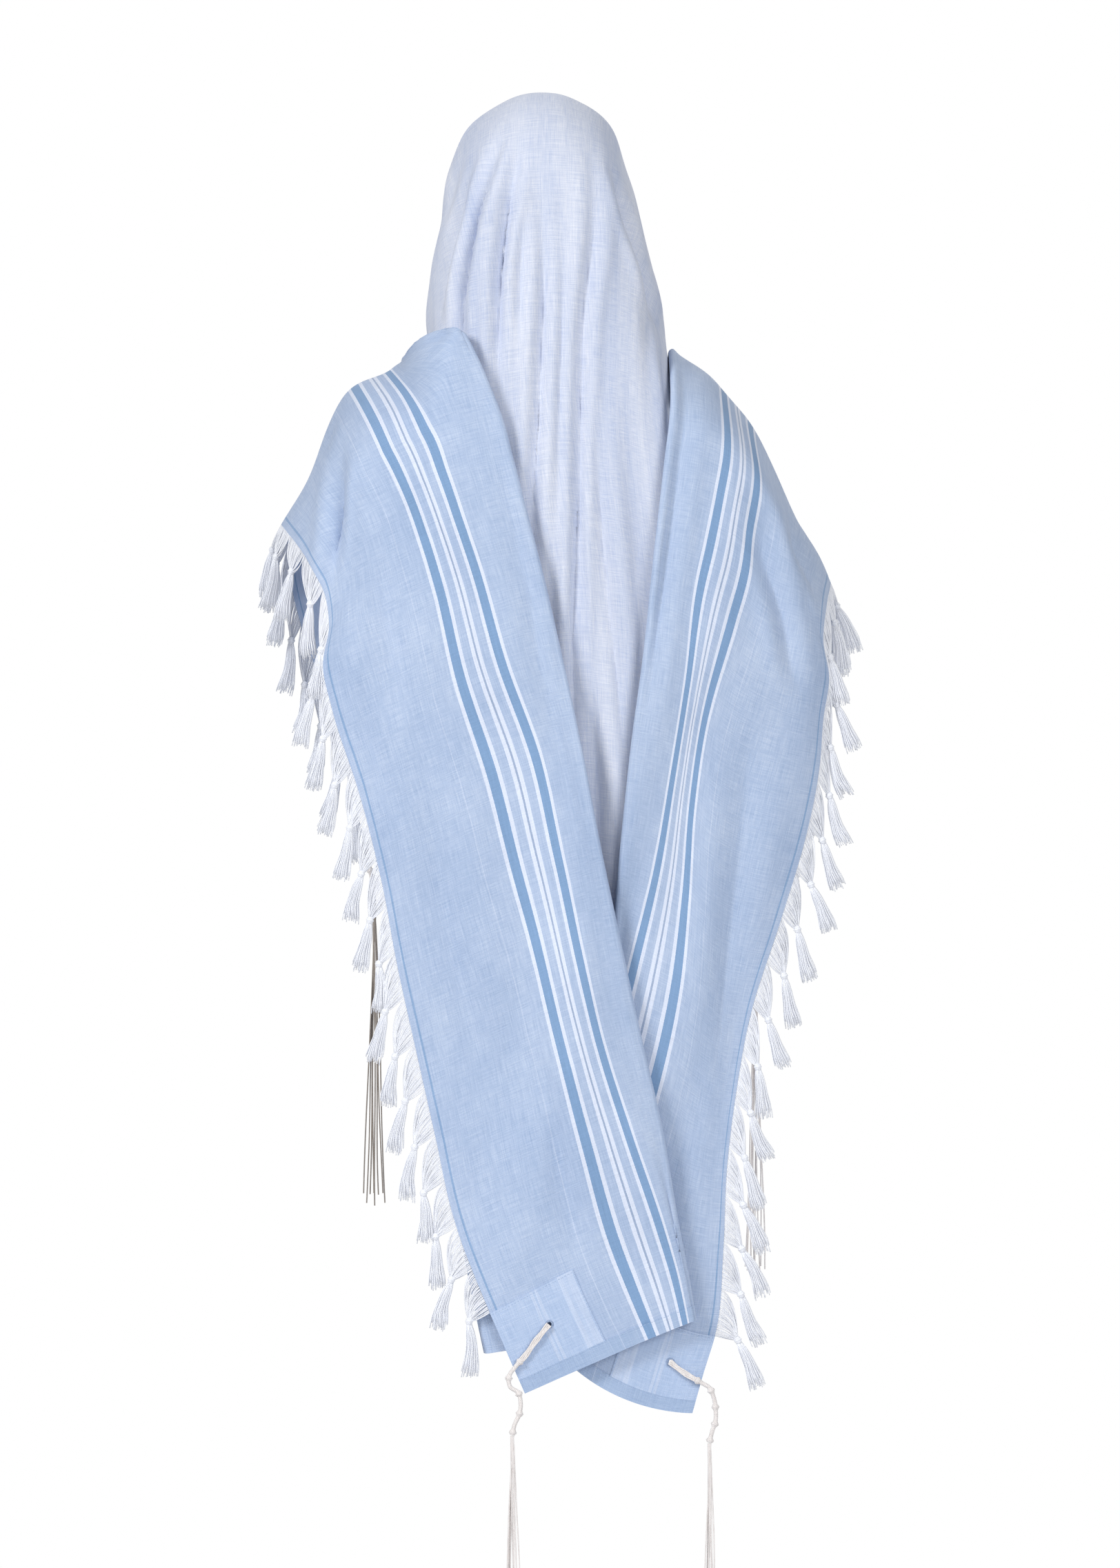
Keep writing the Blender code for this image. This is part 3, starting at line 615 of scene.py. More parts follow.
def unit(vectors):
    return vectors / np.linalg.norm(vectors, axis=-1, keepdims=True)


def grid_normals(points):
    """Normals of a grid of points; the back of the shawl faces out."""
    down = np.gradient(points, axis=0)
    over = np.gradient(points, axis=1)
    return unit(np.cross(over, down))


def lengths_along(points, axis=0):
    """Distance of each point from the first, along a line or along each line of a grid."""
    gaps = np.linalg.norm(np.diff(points, axis=axis), axis=-1)
    start = np.zeros_like(gaps.take([0], axis))
    return np.concatenate([start, np.cumsum(gaps, axis=axis)], axis)


def read_points(values, lengths, at):
    """Reads the points of a line at lengths along it."""
    return np.stack([np.interp(at, lengths, values[:, i]) for i in range(3)], axis=-1)


def track_of(route, step):
    """Evenly spaced points on a smooth curve through a route."""
    route = np.array(route, float)
    length = lengths_along(route)
    at = np.linspace(0.0, length[-1], max(4, round(length[-1] / step)))
    return np.stack([smooth(length, route[:, i], at) for i in range(route.shape[1])], axis=1)


def crease_push(points, sheet, side):
    """How far the creases on one side of a sheet push each point out."""
    flat = points[..., [0, 2]]
    push = np.zeros(flat.shape[:-1])
    for width, depth, *route in CREASES[sheet, side]:
        track = track_of(np.reshape(route, (-1, 2)) / CREASE_UNITS, TRACK_STEP)
        away = np.linalg.norm(flat[..., None, :] - track, axis=-1)
        nearest = away.argmin(axis=-1)
        reach = away.min(axis=-1) / (width / CREASE_UNITS)
        taper = np.sin(np.pi * (nearest + 0.5) / len(track))
        dip = (np.exp(-(reach**2)) + np.exp(-CREASE_SHARPNESS * reach)) / 2
        bank = BANK_SHARE * np.exp(-((reach - BANK_AT) ** 2))
        push -= depth / CREASE_UNITS * taper * (dip - bank)
    return push * CREASE_GAIN[sheet]


def ripple(u, v):
    """Slow waves over the cloth, by its own two lengths."""
    return sum(h * np.sin(2 * np.pi * (a * u + b * v) + phase) for a, b, phase, h in RIPPLES)


def creased(points, sheet, u, v, weight):
    """A grid with its creases and slow waves, where the weight is 1."""
    back_share = ease(-points[..., 1] / SIDE_FADE)
    front_share = ease(points[..., 1] / SIDE_FADE)
    push = ripple(u, v) + back_share * crease_push(points, sheet, BACK_SIDE)
    push += front_share * crease_push(points, sheet, FRONT_SIDE)
    return points + grid_normals(points) * (push * weight)[..., None]


def srgb(red, green, blue):
    """A colour from its 0 to 255 screen values."""
    parts = np.array([red, green, blue]) / 255
    return tuple(np.where(parts < 0.04045, parts / 12.92, ((parts + 0.055) / 1.055) ** 2.4))


# Colours
SKY = (srgb(148, 170, 204), srgb(177, 194, 222), srgb(206, 218, 238))
# Painted light: the hood and back take a paler copy of the cloth, standing for the light that
# comes through its single layer
PALE_PAINTED_LIGHT = (srgb(172, 186, 217), srgb(206, 213, 231), srgb(235, 237, 245))
HEM_BLUE = (srgb(146, 169, 204), srgb(168, 188, 218), srgb(192, 208, 232))
PATCH_BLUE = (srgb(158, 181, 215), srgb(184, 202, 231), srgb(211, 223, 243))
STRIPE_BLUE = srgb(126, 160, 200)
STRIPE_WHITE = srgb(224, 231, 247)
STRIPE_GREY = srgb(154, 170, 198)
COTTON = (srgb(220, 223, 234), srgb(238, 240, 246), srgb(249, 250, 253))
WOOL = (srgb(208, 200, 196), srgb(234, 228, 225), srgb(247, 244, 242))
# Painted shade: a darker copy of the wool for the front left strings, standing for the shade they
# hang in
PAINTED_SHADE_WOOL = (srgb(132, 122, 114), srgb(158, 148, 138), srgb(184, 174, 164))

# The woven band, from its fringe side: width in millimetres and yarn
BAND = (
    (4.3, "white"), (11.5, "blue"), (4.6, "white"), (9.5, None), (4.6, "white"),
    (2.0, "grey"), (4.6, "white"), (9.5, None), (4.6, "white"), (11.5, "blue"), (4.3, "white"),
)
YARNS = {"white": (*STRIPE_WHITE, 0.95), "blue": (*STRIPE_BLUE, 0.92), "grey": (*STRIPE_GREY, 0.7)}
FAINT = (*STRIPE_WHITE, 0.28)
EDGE_LINE = (*STRIPE_BLUE, 0.75)
NO_YARN = (*STRIPE_WHITE, 0.0)
EDGE_STOPS = ((0.0065, EDGE_LINE), (0.0078, NO_YARN))


class Shader:
    """A material's nodes, made one at a time."""

    def __init__(self, name, roughness, sheen):
        self.material = bpy.data.materials.new(name)
        self.material.use_nodes = True
        self.tree = self.material.node_tree
        self.surface = self.tree.nodes["Principled BSDF"]
        self.set("Roughness", roughness)
        self.set("Specular IOR Level", 0.18)
        self.set("Sheen Weight", sheen)
        self.set("Sheen Roughness", 0.6)

    def set(self, key, value):
        self.surface.inputs[key].default_value = value

    def add(self, kind, settings=(), **inputs):
        """A node with its settings and inputs; i0, i1 and so on name inputs by number."""
        item = self.tree.nodes.new(kind)
        for key, value in dict(settings).items():
            setattr(item, key, value)
        for key, value in inputs.items():
            socket = item.inputs[int(key[1:]) if key[1:].isdigit() else key]
            if isinstance(value, bpy.types.NodeSocket):
                self.tree.links.new(value, socket)
            else:
                socket.default_value = value
        return item

    def math(self, kind, first, second=0.5, third=0.0):
        settings = {"operation": kind}
        return self.add("ShaderNodeMath", settings, i0=first, i1=second, i2=third).outputs[0]

    def mix(self, share, first, second, blend="MIX"):
        settings = {"data_type": "RGBA", "blend_type": blend}
        return self.add("ShaderNodeMix", settings, i0=share, i6=first, i7=second).outputs[2]

    def noise(self, place, scale, detail=2.0):
        """Noise between 0 and 1 over a place stretched by a scale along each axis."""
        stretched = self.add("ShaderNodeMapping", i0=place, i3=scale).outputs[0]
        return self.add("ShaderNodeTexNoise", i0=stretched, Scale=1.0, Detail=detail).outputs[0]

    def ramp(self, share, stops, interpolation="LINEAR"):
        made = self.add("ShaderNodeValToRGB", i0=share)
        made.color_ramp.interpolation = interpolation
        points = made.color_ramp.elements
        while len(points) < len(stops):
            points.new(0.5)
        for point, stop in zip(points, stops, strict=True):
            point.position = stop[0]
        for point, stop in zip(points, stops, strict=True):
            point.color = (*stop[1], 1.0)[:4]
        return made.outputs

    def finish(self, colour, height, distance):
        bump = self.add("ShaderNodeBump", Height=height, Strength=0.6, Distance=distance)
        self.tree.links.new(colour, self.surface.inputs["Base Color"])
        self.tree.links.new(bump.outputs[0], self.surface.inputs["Normal"])
        return self.material


# Scales of the cloth's noises along its two lengths
WARP_YARNS = (900.0, 38.0, 1.0)
WEFT_YARNS = (38.0, 900.0, 1.0)
LONG_STREAKS = (230.0, 6.0, 1.0)
FIBRES = (1700.0, 1700.0, 1.0)
STRIPE_WOBBLE = (60.0, 700.0, 1.0)
CLOUDS = (9.0, 7.0, 1.0)
HOOD_CLOUDS = (17.0, 1.6, 1.0)


def cloth_material(name, tones, stripes=(), blotch=0.36, cloud_scale=CLOUDS):
    """Woven cotton: uneven yarns along both directions, and woven stripes by length u."""
    shader = Shader(name, roughness=0.88, sheen=0.22)
    place = shader.add("ShaderNodeUVMap").outputs[0]
    warp = shader.noise(place, WARP_YARNS)
    weft = shader.noise(place, WEFT_YARNS)
    long_warp = shader.noise(place, LONG_STREAKS, 1.0)
    grain = shader.noise(place, FIBRES, 0.0)
    cloud = shader.noise(place, cloud_scale)
    tone = shader.math("MULTIPLY_ADD", warp, 0.78, 0.11)
    for part, amount in ((weft, 0.78), (long_warp, 0.26), (grain, 0.25), (cloud, blotch * 2)):
        centred = shader.math("SUBTRACT", part, 0.5)
        tone = shader.math("MULTIPLY_ADD", centred, amount, tone)
    dark, base, pale = tones
    colour = shader.ramp(tone, ((0.0, dark), (0.5, base), (1.0, pale)))[0]
    if stripes:
        split = shader.add("ShaderNodeSeparateXYZ", i0=place).outputs[0]
        wobble = shader.math("SUBTRACT", shader.noise(place, STRIPE_WOBBLE), 0.5)
        along = shader.math("MULTIPLY_ADD", wobble, 0.0008, split)
        share = shader.math("DIVIDE", along, FOLD_AT)
        yarn = shader.ramp(share, stripes, "CONSTANT")
        shade = shader.math("MULTIPLY_ADD", tone, 0.30, 0.85)
        grey = shader.add("ShaderNodeCombineColor", i0=shade, i1=shade, i2=shade).outputs[0]
        yarn_colour = shader.mix(1.0, yarn[0], grey, "MULTIPLY")
        colour = shader.mix(yarn[1], colour, yarn_colour)
    height = shader.math("ADD", shader.math("ADD", warp, weft), grain)
    return shader.finish(colour, height, 0.0005)


def band_stops(beside_fringe=()):
    """The ramp of the woven stripes, by share of the way from the fringe to the fold."""
    stops = [(0.0, NO_YARN), *beside_fringe]
    stops += [(BAND_START - 0.0265, FAINT), (BAND_START - 0.0257, NO_YARN)]
    at = BAND_START
    for width, yarn in BAND:
        stops.append((at, YARNS.get(yarn, NO_YARN)))
        at += width / 1000
    stops.append((at, NO_YARN))
    stops += [(BAND_END + 0.0265, FAINT), (BAND_END + 0.0273, NO_YARN)]
    return [(place / FOLD_AT, colour) for place, colour in stops]


def patch_stops():
    """Pale streaks in a corner patch, parallel to the fringe edge."""
    stops = [(0.0, NO_YARN), (0.046, FAINT), (0.049, NO_YARN), (0.052, FAINT), (0.055, NO_YARN)]
    stops += [(0.080, (*STRIPE_WHITE, 0.34)), (0.085, (*STRIPE_WHITE, 0.16)), (0.0895, FAINT)]
    stops += [(0.097, NO_YARN)]
    return [(place / FOLD_AT, colour) for place, colour in stops]


def yarn_material(name, tones, roughness, scale, distance, painted_glow=0.0):
    """Loose spun yarn: fine streaks and fuzz, and a painted glow that brightens it where one is
    given.
    """
    shader = Shader(name, roughness, sheen=0.3)
    # Painted light: an even glow in cotton colour that makes the yarn brighter than its lamps do
    shader.set("Emission Color", (*COTTON[1], 1.0))
    shader.set("Emission Strength", painted_glow)
    place = shader.add("ShaderNodeTexCoord").outputs["Object"]
    streak = shader.noise(place, (scale, scale, scale * 0.12), 3.0)
    fuzz = shader.noise(place, (scale * 2, scale * 2, scale * 2), 1.0)
    tone = shader.math("MULTIPLY_ADD", streak, 1.3, -0.15)
    tone = shader.math("MULTIPLY_ADD", shader.math("SUBTRACT", fuzz, 0.5), 0.4, tone)
    dark, base, pale = tones
    colour = shader.ramp(tone, ((0.0, dark), (0.5, base), (1.0, pale)))[0]
    return shader.finish(colour, shader.math("ADD", streak, fuzz), distance)


def add_object(name, data):
    """A new object in the scene."""
    item = bpy.data.objects.new(name, data)
    bpy.context.scene.collection.objects.link(item)
    return item


def add_mesh(name, vertices, faces, materials, uv=None, second_from=None, sharp=50):
    """A piece that rides on the only body, from its vertices and faces."""
    mesh = bpy.data.meshes.new(name)
    mesh.from_pydata(vertices, [], faces)
    for material in materials:
        mesh.materials.append(material)
    if second_from is not None:
        index = np.zeros(len(mesh.polygons), int)
        index[second_from:] = 1
        mesh.polygons.foreach_set("material_index", index)
    if uv is not None:
        layer = mesh.uv_layers.new(name="cloth")
        corners = np.zeros(len(mesh.loops), int)
        mesh.loops.foreach_get("vertex_index", corners)
        layer.data.foreach_set("uv", np.asarray(uv, float)[corners].ravel())
    mesh.shade_smooth()
    mesh.set_sharp_from_angle(angle=math.radians(sharp))
    mesh.update()
    item = add_object(name, mesh)
    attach(item, "root")
    return item


def wall(points, normals, uv, inner, outer, left_out=()):
    """Vertices, faces and lengths of a closed wall over a grid, less the cells left out."""
    rows, columns = points.shape[:2]
    count = rows * columns
    index = np.arange(count).reshape(rows, columns)
    cells = np.stack([index[:-1, :-1], index[:-1, 1:], index[1:, 1:], index[1:, :-1]], axis=-1)
    kept = np.ones(cells.shape[:2], bool)
    for row, col in left_out:
        kept[row, col] = False
    top = cells[kept]
    sides = np.concatenate([top[:, [i, (i + 1) % 4]] for i in range(4)])
    known = {(a, b) for a, b in sides.tolist()}
    border = [(a, b) for a, b in sides.tolist() if (b, a) not in known]
    faces = top.tolist() + (top[:, ::-1] + count).tolist()
    faces += [[b, a, a + count, b + count] for a, b in border]
    sheet = np.concatenate([points + normals * outer, points + normals * inner])
    lengths = np.asarray(uv, float).reshape(-1, 2)
    return sheet.reshape(-1, 3), faces, np.concatenate([lengths, lengths])


class Threads:
    """Many short tubes gathered into one mesh."""

    def __init__(self):
        self.vertices = []
        self.faces = []
        self.count = 0

    def add(self, track, radii, across, sides=4):
        """A tube along a track; across is any direction that the track doesn't follow."""
        track = np.asarray(track, float)
        along = unit(np.gradient(track, axis=0))
        side = unit(np.cross(along, across))
        up = np.cross(side, along)
        turn = np.arange(sides) * 2 * np.pi / sides
        radii = np.broadcast_to(np.asarray(radii, float), len(track))
        around = np.cos(turn)[:, None] * side[:, None] + np.sin(turn)[:, None] * up[:, None]
        rings = track[:, None] + around * radii[:, None, None]
        start = self.count
        n = len(track)
        for step in range(n - 1):
            first = start + step * sides
            for i in range(sides):
                j = (i + 1) % sides
                self.faces.append([first + i, first + j, first + sides + j, first + sides + i])
        self.faces.append([start + i for i in reversed(range(sides))])
        self.faces.append([start + (n - 1) * sides + i for i in range(sides)])
        self.vertices.append(rings.reshape(-1, 3))
        self.count += n * sides

    def ball(self, centre, direction, across, radius, length, ridges):
        """A knot: a short bead, wound round and ridged."""
        t = np.linspace(-0.985, 0.985, 11)
        radii = radius * np.sqrt(1 - t**2) * (1 + 0.10 * np.cos(t * ridges * np.pi))
        track = centre + np.outer(t * length / 2, direction)
        self.add(track, radii, across, 10)

    def take(self, other):
        """Takes in another's tubes, and gives the number of the first of their faces."""
        first = len(self.faces)
        self.faces += [[i + self.count for i in face] for face in other.faces]
        self.vertices += other.vertices
        self.count += other.count
        return first

    def points(self):
        return np.concatenate(self.vertices)


def stitches(threads, track, normals, stitch=0.0024, space=0.0014, radius=0.00022):
    """A row of small stitches along a track on the cloth."""
    length = lengths_along(track)
    for first in np.arange(space, length[-1] - stitch, stitch + space):
        at = np.linspace(first, first + stitch, 4)
        run = read_points(track, length, at)
        up = read_points(normals, length, at)
        run += up * STITCH_LIFT[:, None]
        threads.add(run, radius, up[0], 4)


def sewn(name, node, sheet, cut, tracks, materials, left_out=()):
    """A trimming on part of a sheet, with its stitches, standing for a node of the frame."""
    strip, normals, uv = (values[cut] for values in sheet)
    first = CLOTH_WALL / 2 + GAP / 2
    vertices, faces, lengths = wall(strip, normals, uv, first, first + TRIM_WALL, left_out)
    threads = Threads()
    for track, up in tracks:
        stitches(threads, track + up * (first + TRIM_WALL), up)
    second_from = len(faces)
    faces = faces + [[i + len(vertices) for i in face] for face in threads.faces]
    sewing = threads.points()
    vertices = np.concatenate([vertices, sewing])
    lengths = np.concatenate([lengths, np.zeros((len(sewing), 2))])
    item = add_mesh(name, vertices, faces, materials, lengths, second_from)
    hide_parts(node)
    return item


def add_camera():
    data = bpy.data.cameras.new("camera")
    data.lens = 200
    data.sensor_width = 36
    camera = add_object("camera", data)
    camera.location = (CAMERA_X, -CAMERA_AWAY, CAMERA_Z)
    camera.rotation_euler = (math.pi / 2, 0, 0)
    bpy.context.scene.camera = camera


def build_wound(corner, material):
    """The part of a corner cord from the eyelet to the last knot."""
    route = CORD_ROUTES[corner]
    plain_share = CORD_FACTS[corner][1]
    track = track_of(route, CORD_STEP)
    length = lengths_along(track)
    share = length / length[-1]
    across = np.array([0.0, 1.0, 0.0])
    threads = Threads()
    plain = track[share <= plain_share + PLAIN_OVERLAP][::3]
    side = unit(np.cross(unit(np.gradient(plain, axis=0)), across))
    for offset in STRAND_OFFSETS:
        wave = STRAND_WAVE * np.sin(np.arange(len(plain)) * 0.35 + offset * 900)
        threads.add(plain + side * (offset + wave)[:, None], STRAND_RADIUS, across, 8)
    wound = track[share >= plain_share]
    at = np.linspace(0, 1, len(wound))
    turns = length[-1] * (1 - plain_share) / WINDING_PITCH
    radii = WOUND_RADIUS + WINDING_RIDGE * np.sin(at * turns * 2 * np.pi)
    for place in np.linspace(0.03, 0.97, KNOTS_PER_CORD):
        radii += KNOT_RISE * np.exp(-(((at - place) * length[-1] / KNOT_REACH) ** 2))
    threads.add(wound, radii, across, 14)
    item = add_mesh(f"cord_{corner}_wound", threads.points(), threads.faces, [material], sharp=180)
    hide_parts(f"tzitzit_{corner}_wound")


def build_strings(corner, material, draw):
    """Eight loose strings that hang from the last knot of a corner cord."""
    top = CORD_ROUTES[corner][-1]
    reach, _, spread = CORD_FACTS[corner]
    drop = np.linspace(0, 1, 22)
    for number in range(STRINGS_PER_CORD):
        turn = 2 * math.pi * number / STRINGS_PER_CORD
        side = -1 + 2 * (number + 0.5) / STRINGS_PER_CORD
        long = reach * draw.uniform(0.95, 1.0)
        sway = STRING_SWAY * draw.uniform(0.5, 1.0)
        sway = sway * np.sin(drop * draw.uniform(5, 9) + draw.uniform(0, 6)) * drop
        swing = spread * side * drop**0.8 + sway
        depth = STRING_DEPTH * math.sin(turn) * drop**0.7
        x = top[0] + STRING_RING * math.cos(turn) * (1 - drop) + swing
        y = top[1] + STRING_RING * math.sin(turn) * (1 - drop) + depth
        points = np.stack([x, y, top[2] - STRING_START - drop * long], axis=1)
        curve = bpy.data.curves.new(f"string_{corner}_{number + 1}", "CURVE")
        curve.dimensions = "3D"
        curve.bevel_depth = STRING_DIAMETER / 2
        curve.bevel_resolution = 2
        curve.use_fill_caps = True
        spline = curve.splines.new("POLY")
        spline.points.add(len(points) - 1)
        for place, point in zip(spline.points, points, strict=True):
            place.co = (*point, 1.0)
        spline.use_smooth = True
        curve.materials.append(material)
        item = add_object(curve.name, curve)
        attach(item, "root")
        if number == 0:
            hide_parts(f"tzitzit_{corner}_strings")
        length = float(lengths_along(points)[-1])


def build_fringe(side, edge, inside, normals, materials, draw):
    """Knotted fringe along an edge: fans of threads, their knots and their tassels."""
    length = lengths_along(edge)
    count = round(length[-1] / FAN_WIDTH)
    pitch = length[-1] / count
    out = unit(edge - inside)

    def at(values, place):
        return read_points(values, length, place)

    sway = -1 if side == "left" else 1
    threads = Threads()
    tassels = Threads()
    steps = np.linspace(0, 1, 8)[:, None]
    for fan in range(count):
        first = fan * pitch
        ends = at(edge, np.array([first, (fan + 1) * pitch]))
        slope = (ends[1, 2] - ends[0, 2]) / pitch
        place = first + (0.5 - FAN_DROOP * slope) * pitch
        away = unit(at(out, place) + FAN_DROOP * DOWN)
        normal = unit(at(normals, place))
        reach = FAN_REACH * draw.uniform(0.92, 1.08)
        knot = at(edge, place) + away * reach + KNOT_DROP * DOWN
        for number in range(FAN_THREADS):
            share = (number + 0.5 + draw.uniform(-0.3, 0.3)) / FAN_THREADS
            leave = at(out, first + share * pitch)
            start = at(edge, first + share * pitch) - leave * THREAD_INSET
            spot = knot + normal * draw.uniform(-0.0016, 0.0016)
            spot = spot + away * draw.uniform(-0.001, 0.001)
            bend = start + leave * reach * draw.uniform(0.55, 0.85) + THREAD_SAG * DOWN
            bend = bend + normal * draw.uniform(-0.0025, 0.0025)
            track = (1 - steps) ** 2 * start + 2 * steps * (1 - steps) * bend + steps**2 * spot
            threads.add(track, THREAD_RADIUS, normal, 4)
        lean = sway * (RIGHT_LEAN if side == "right" and ends[0, 1] < 0 else LEAN)
        lean += draw.uniform(-0.16, 0.16)
        hang = unit(np.array([lean, draw.uniform(-0.10, 0.10), -1.0]))
        cross = unit(np.cross(hang, np.array([0.0, 1.0, 0.0])))
        deep = np.cross(cross, hang)
        threads.ball(knot, hang, cross, KNOT_RADIUS, KNOT_LENGTH, 3)
        long = TASSEL_LENGTH * draw.uniform(0.93, 1.06)
        bow = draw.uniform(-0.004, 0.004)
        for number in range(TASSEL_THREADS):
            turn = number * 2.4
            wide = math.sqrt((number + 0.5) / TASSEL_THREADS)
            fray = draw.uniform(0.85, 1.05)
            open_out = cross * math.cos(turn) * 1.15 + deep * math.sin(turn) * 0.85
            flare = TASSEL_ROOT + (TASSEL_SPREAD - TASSEL_ROOT) * steps**0.7
            wave = 0.0007 * np.sin(steps * 9 + turn) * steps
            track = knot + hang * (0.003 + steps * long * fray) + open_out * wide * flare
            track = track + cross * (wave + bow * np.sin(steps * 2.6))
            tassels.add(track, THREAD_RADIUS * 1.1, deep, 3)
    first_tassel = threads.take(tassels)
    item = add_mesh(f"knotted_fringe_{side}", threads.points(), threads.faces, materials,
                    second_from=first_tassel, sharp=180)
    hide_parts(f"fringe_{side}")
    return item


def ring(name, centre, normal, material, radius=0.0030, thick=0.0005):
    """A buttonholed ring round an eyelet."""
    side = unit(np.cross(normal, np.array([0.0, 0.0, 1.0])))
    up = np.cross(side, normal)
    turn = np.linspace(0, 2 * np.pi, 33)
    threads = Threads()
    for spoke in np.linspace(0, 2 * np.pi, 26, endpoint=False):
        out = side * math.cos(spoke) + up * math.sin(spoke)
        lift = np.array([-0.2, 0.7, 0.9, 0.7, -0.2]) * thick
        run = centre + out * np.linspace(radius * 0.82, radius * 1.55, 5)[:, None]
        threads.add(run + normal * lift[:, None], thick * 0.5, normal + up * 0.01, 5)
    loop = centre + (side * np.cos(turn)[:, None] + up * np.sin(turn)[:, None]) * radius
    threads.add(loop + normal * thick * 0.3, thick * 0.6, normal, 6)
    return add_mesh(name, threads.points(), threads.faces, [material], sharp=180)


def add_cloth(name, node, sheet, material, holes=()):
    """The closed wall of a sheet, standing for a node of the frame."""
    vertices, faces, lengths = wall(*sheet, -CLOTH_WALL / 2, CLOTH_WALL / 2, holes)
    cloth = add_mesh(name, vertices, faces, [material], lengths)
    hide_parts(node)
    return cloth


def add_hem(name, node, sheet, rows, columns, seam_in, looks):
    """A turned hem on the rows from an edge to the seam, with its stitches near the seam."""
    points, normals, _ = sheet
    line = between(points[rows[-1]], points[rows[-2]], seam_in)[columns]
    hem = sewn(name, node, sheet, np.ix_(np.sort(rows), columns),
               [(line, normals[rows[-1]][columns])], [looks["hem"], looks["thread"]])
    return hem


def build_throw(side, throw, looks, draw):
    """A throw with its hems, patches and fringe."""
    points, along = throw_grid(throw)
    v = lengths_along(points)
    u = np.broadcast_to(along, v.shape)
    points = creased(points, side, u, v, ease((FOLD_AT - u) / EDGE_FADE))
    normals = grid_normals(points)
    sheet = (points, normals, np.stack([u, v], axis=-1))
    rows = len(points)
    left = side == "left"
    hole_col = int(np.abs(along - throw.eyelet_in).argmin()) - (0 if left else 1)
    holes = ((EYELET_ROW, hole_col), (rows - 2 - EYELET_ROW, hole_col))
    cloth = add_cloth(f"cloth_{side}_throw", f"{side}_throw", sheet, looks["striped"], holes)

    shown = np.flatnonzero(along <= FOLD_AT + TINY)
    corner = np.flatnonzero(along <= PATCH_WIDTH + TINY)
    edge_col, inner_col = corner[[-1, -2] if left else [0, 1]]
    trims = []
    for end, step, (row, col) in (("back", 1, holes[0]), ("front", -1, holes[1])):
        near = np.arange(rows)[::step]
        hem = add_hem(f"sewn_hem_{side}_{end}", f"hem_{side}_{end}", sheet,
                      near[: HEM_ROW + 1], shown, THROW_SEAM_IN, looks)
        cover = np.sort(near[HEM_ROW : PATCH_ROW + 1])
        top = near[PATCH_ROW]
        line = between(points[top], points[near[PATCH_ROW - 1]], PATCH_SEAM_IN)[corner]
        line_side = between(points[cover, edge_col], points[cover, inner_col], PATCH_SEAM_IN)
        tracks = [(line, normals[top][corner]), (line_side, normals[cover, edge_col])]
        eyelet = (int((cover == row).argmax()), int((corner == col).argmax()))
        patch = sewn(f"sewn_patch_{end}_{side}", f"patch_{end}_{side}", sheet,
                     np.ix_(cover, corner), tracks, [looks["patch"], looks["thread"]], (eyelet,))
        centre = points[row : row + 2, col : col + 2].mean(axis=(0, 1))
        normal = normals[row, col]
        rim = ring(f"eyelet_{end}_{side}", centre + normal * RIM_RAISED, normal, looks["thread"])
        trims += [hem, patch, rim]

    first_col, next_col = (0, 1) if left else (-1, -2)
    bare = slice(PATCH_ROW, rows - PATCH_ROW)
    fringe = build_fringe(side, points[bare, first_col], points[bare, next_col],
                          normals[bare, first_col], [looks["cotton"], looks["tassel"]], draw)


def build_hood(looks):
    """The hood and back, with its two hems."""
    points = back_grid()
    rows, columns = points.shape[:2]
    v = lengths_along(points)
    u = lengths_along(points, axis=1)
    u = u - u[:, columns // 2][:, None] + 1.0
    from_side = 1 - np.abs(np.linspace(-1, 1, columns))
    weight = np.broadcast_to(ease(from_side / HOOD_SIDE_FADE), u.shape)
    points = creased(points, "hood", u, v, weight)
    sheet = (points, grid_normals(points), np.stack([u, v], axis=-1))
    cloth = add_cloth("cloth_hood_back", "hood_back", sheet, looks["plain"])
    inner = np.arange(HOOD_HEM_INSET, columns - HOOD_HEM_INSET)
    hems = [
        add_hem(name, node, sheet, np.arange(rows)[::step][:4], inner, HOOD_SEAM_IN, looks)
        for name, node, step in (
            ("sewn_hem_centre_back", "hem_centre_back", 1), ("sewn_hem_face", "hem_face", -1),
        )
    ]


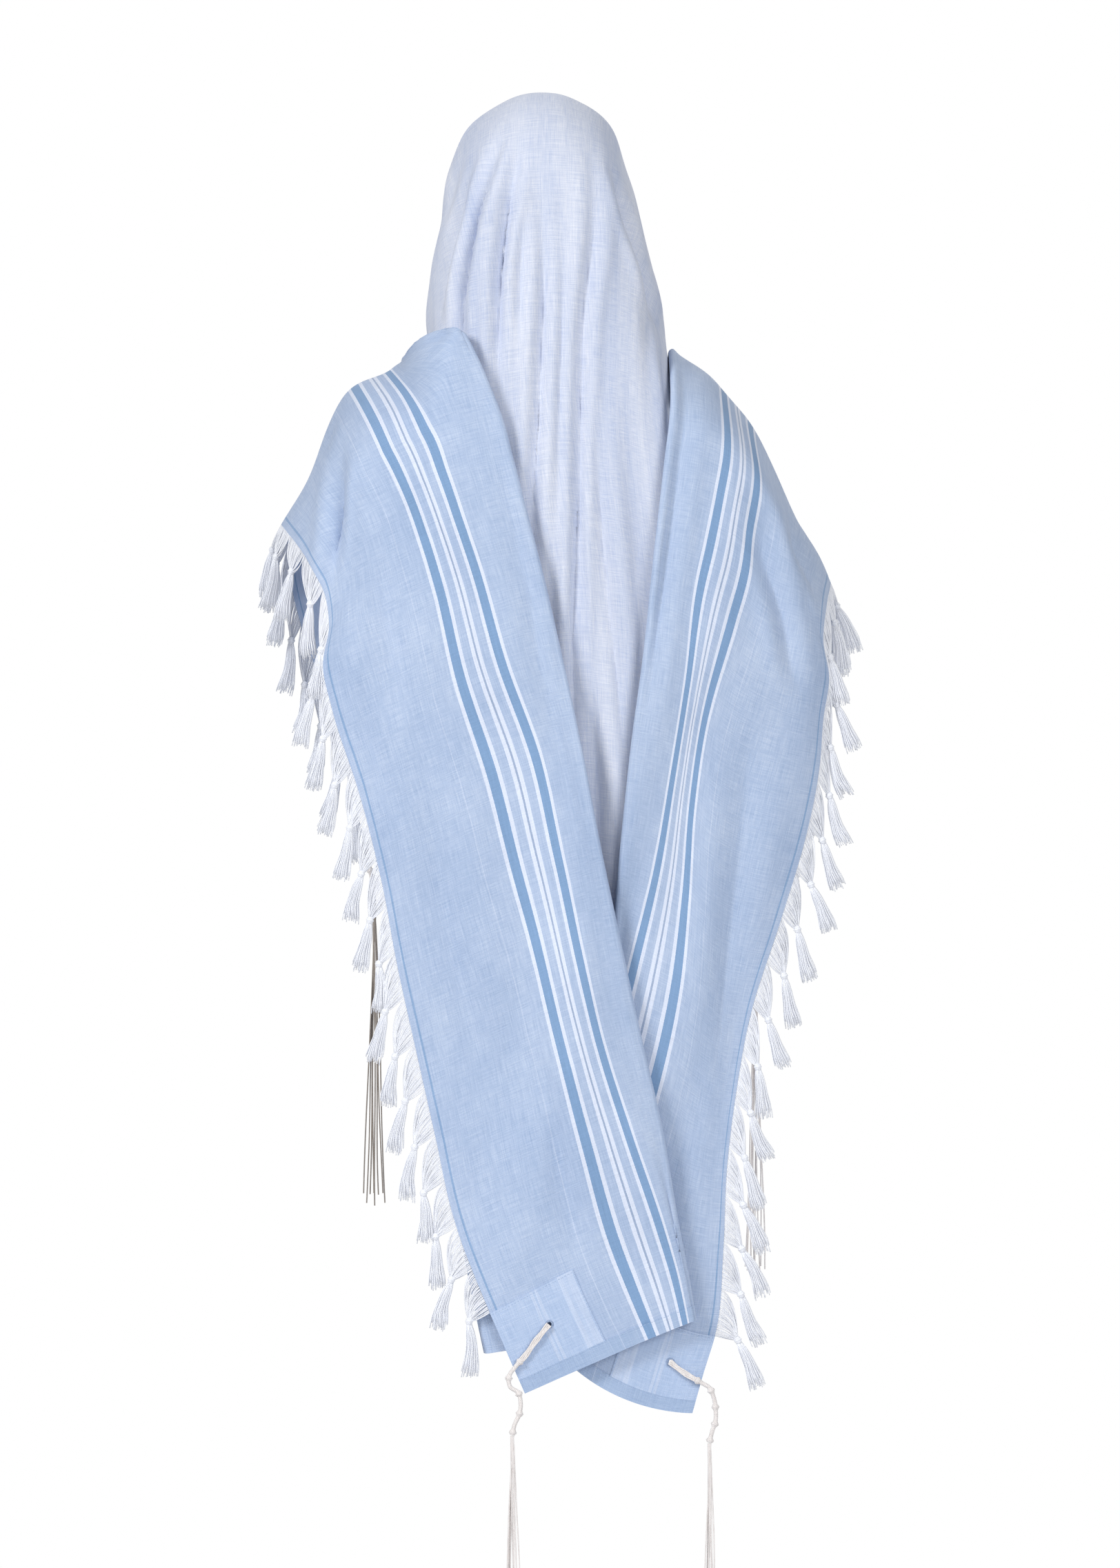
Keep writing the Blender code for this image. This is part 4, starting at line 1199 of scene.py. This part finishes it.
def add_studio():
    """Plain pale floor, white surroundings and soft light from the camera's side."""
    mesh = bpy.data.meshes.new("floor")
    turn = np.linspace(0, 2 * np.pi, 96, endpoint=False)
    rim = [(FLOOR_RADIUS * math.cos(a), FLOOR_RADIUS * math.sin(a), FLOOR_Z) for a in turn]
    mesh.from_pydata(rim, [], [list(range(len(rim)))])
    shader = Shader("pale_floor", roughness=0.8, sheen=0.0)
    place = shader.add("ShaderNodeTexCoord").outputs["Object"]
    cloud = shader.noise(place, (3.0, 3.0, 3.0))
    colour = shader.ramp(cloud, ((0.3, srgb(226, 227, 230)), (0.7, srgb(232, 233, 236))))[0]
    mesh.materials.append(shader.finish(colour, cloud, 0.0002))
    add_object("floor", mesh)

    world = bpy.data.worlds.new("studio")
    world.use_nodes = True
    tree = world.node_tree
    fill = tree.nodes["Background"]
    shown = tree.nodes.new("ShaderNodeBackground")
    seen = tree.nodes.new("ShaderNodeLightPath")
    choice = tree.nodes.new("ShaderNodeMixShader")
    for item, colour, strength in ((fill, FILL_COLOUR, FILL_STRENGTH), (shown, WHITE, 1.0)):
        item.inputs[0].default_value = colour
        item.inputs[1].default_value = strength
    tree.links.new(seen.outputs["Is Camera Ray"], choice.inputs[0])
    tree.links.new(fill.outputs[0], choice.inputs[1])
    tree.links.new(shown.outputs[0], choice.inputs[2])
    tree.links.new(choice.outputs[0], tree.nodes["World Output"].inputs[0])
    bpy.context.scene.world = world
    bpy.context.scene.view_settings.view_transform = "Standard"

    for name, place, size, power in LIGHTS:
        light = bpy.data.lights.new(name, "AREA")
        light.size = size
        light.energy = power
        lamp = add_object(name, light)
        lamp.location = place
        toward = np.array(AIM) - np.array(place)
        lamp.rotation_mode = "QUATERNION"
        lamp.rotation_quaternion = Vector(toward).to_track_quat("-Z", "Y")


def main():
    add_camera()
    draw = random.Random(11)
    wool = yarn_material("tzitzit_wool_look", WOOL, 0.92, 900.0, 0.0003)
    painted_shade_wool = yarn_material("shaded_wool_look", PAINTED_SHADE_WOOL, 0.92, 900.0, 0.0003)
    for corner in CORD_ROUTES:
        build_wound(corner, wool)
        # The front left strings take the darker wool: painted shade
        build_strings(corner, painted_shade_wool if corner == "front_left" else wool, draw)
    looks = {
        "striped": cloth_material("striped_chambray", SKY, band_stops(EDGE_STOPS)),
        # The hood's paler tones are painted light, for light through its single layer
        "plain": cloth_material("pale_chambray_painted_light", PALE_PAINTED_LIGHT, (), 0.46, HOOD_CLOUDS),
        "hem": cloth_material("doubled_hem_cloth", HEM_BLUE, band_stops()),
        "patch": cloth_material("patch_cloth", PATCH_BLUE, patch_stops()),
        # Painted light: the fans glow a little and the tassels more, lifting the shade among their
        # threads
        "cotton": yarn_material("fringe_cotton_painted_glow", COTTON, 0.95, 700.0, 0.0003, 0.02),
        "tassel": yarn_material("tassel_cotton_painted_glow", COTTON, 0.95, 700.0, 0.0003, 0.15),
        "thread": yarn_material("sewing_thread", HEM_BLUE, 0.8, 1500.0, 0.0001),
    }
    build_hood(looks)
    build_throw("left", LEFT, looks, draw)
    build_throw("right", RIGHT, looks, draw)
    add_studio()


main()
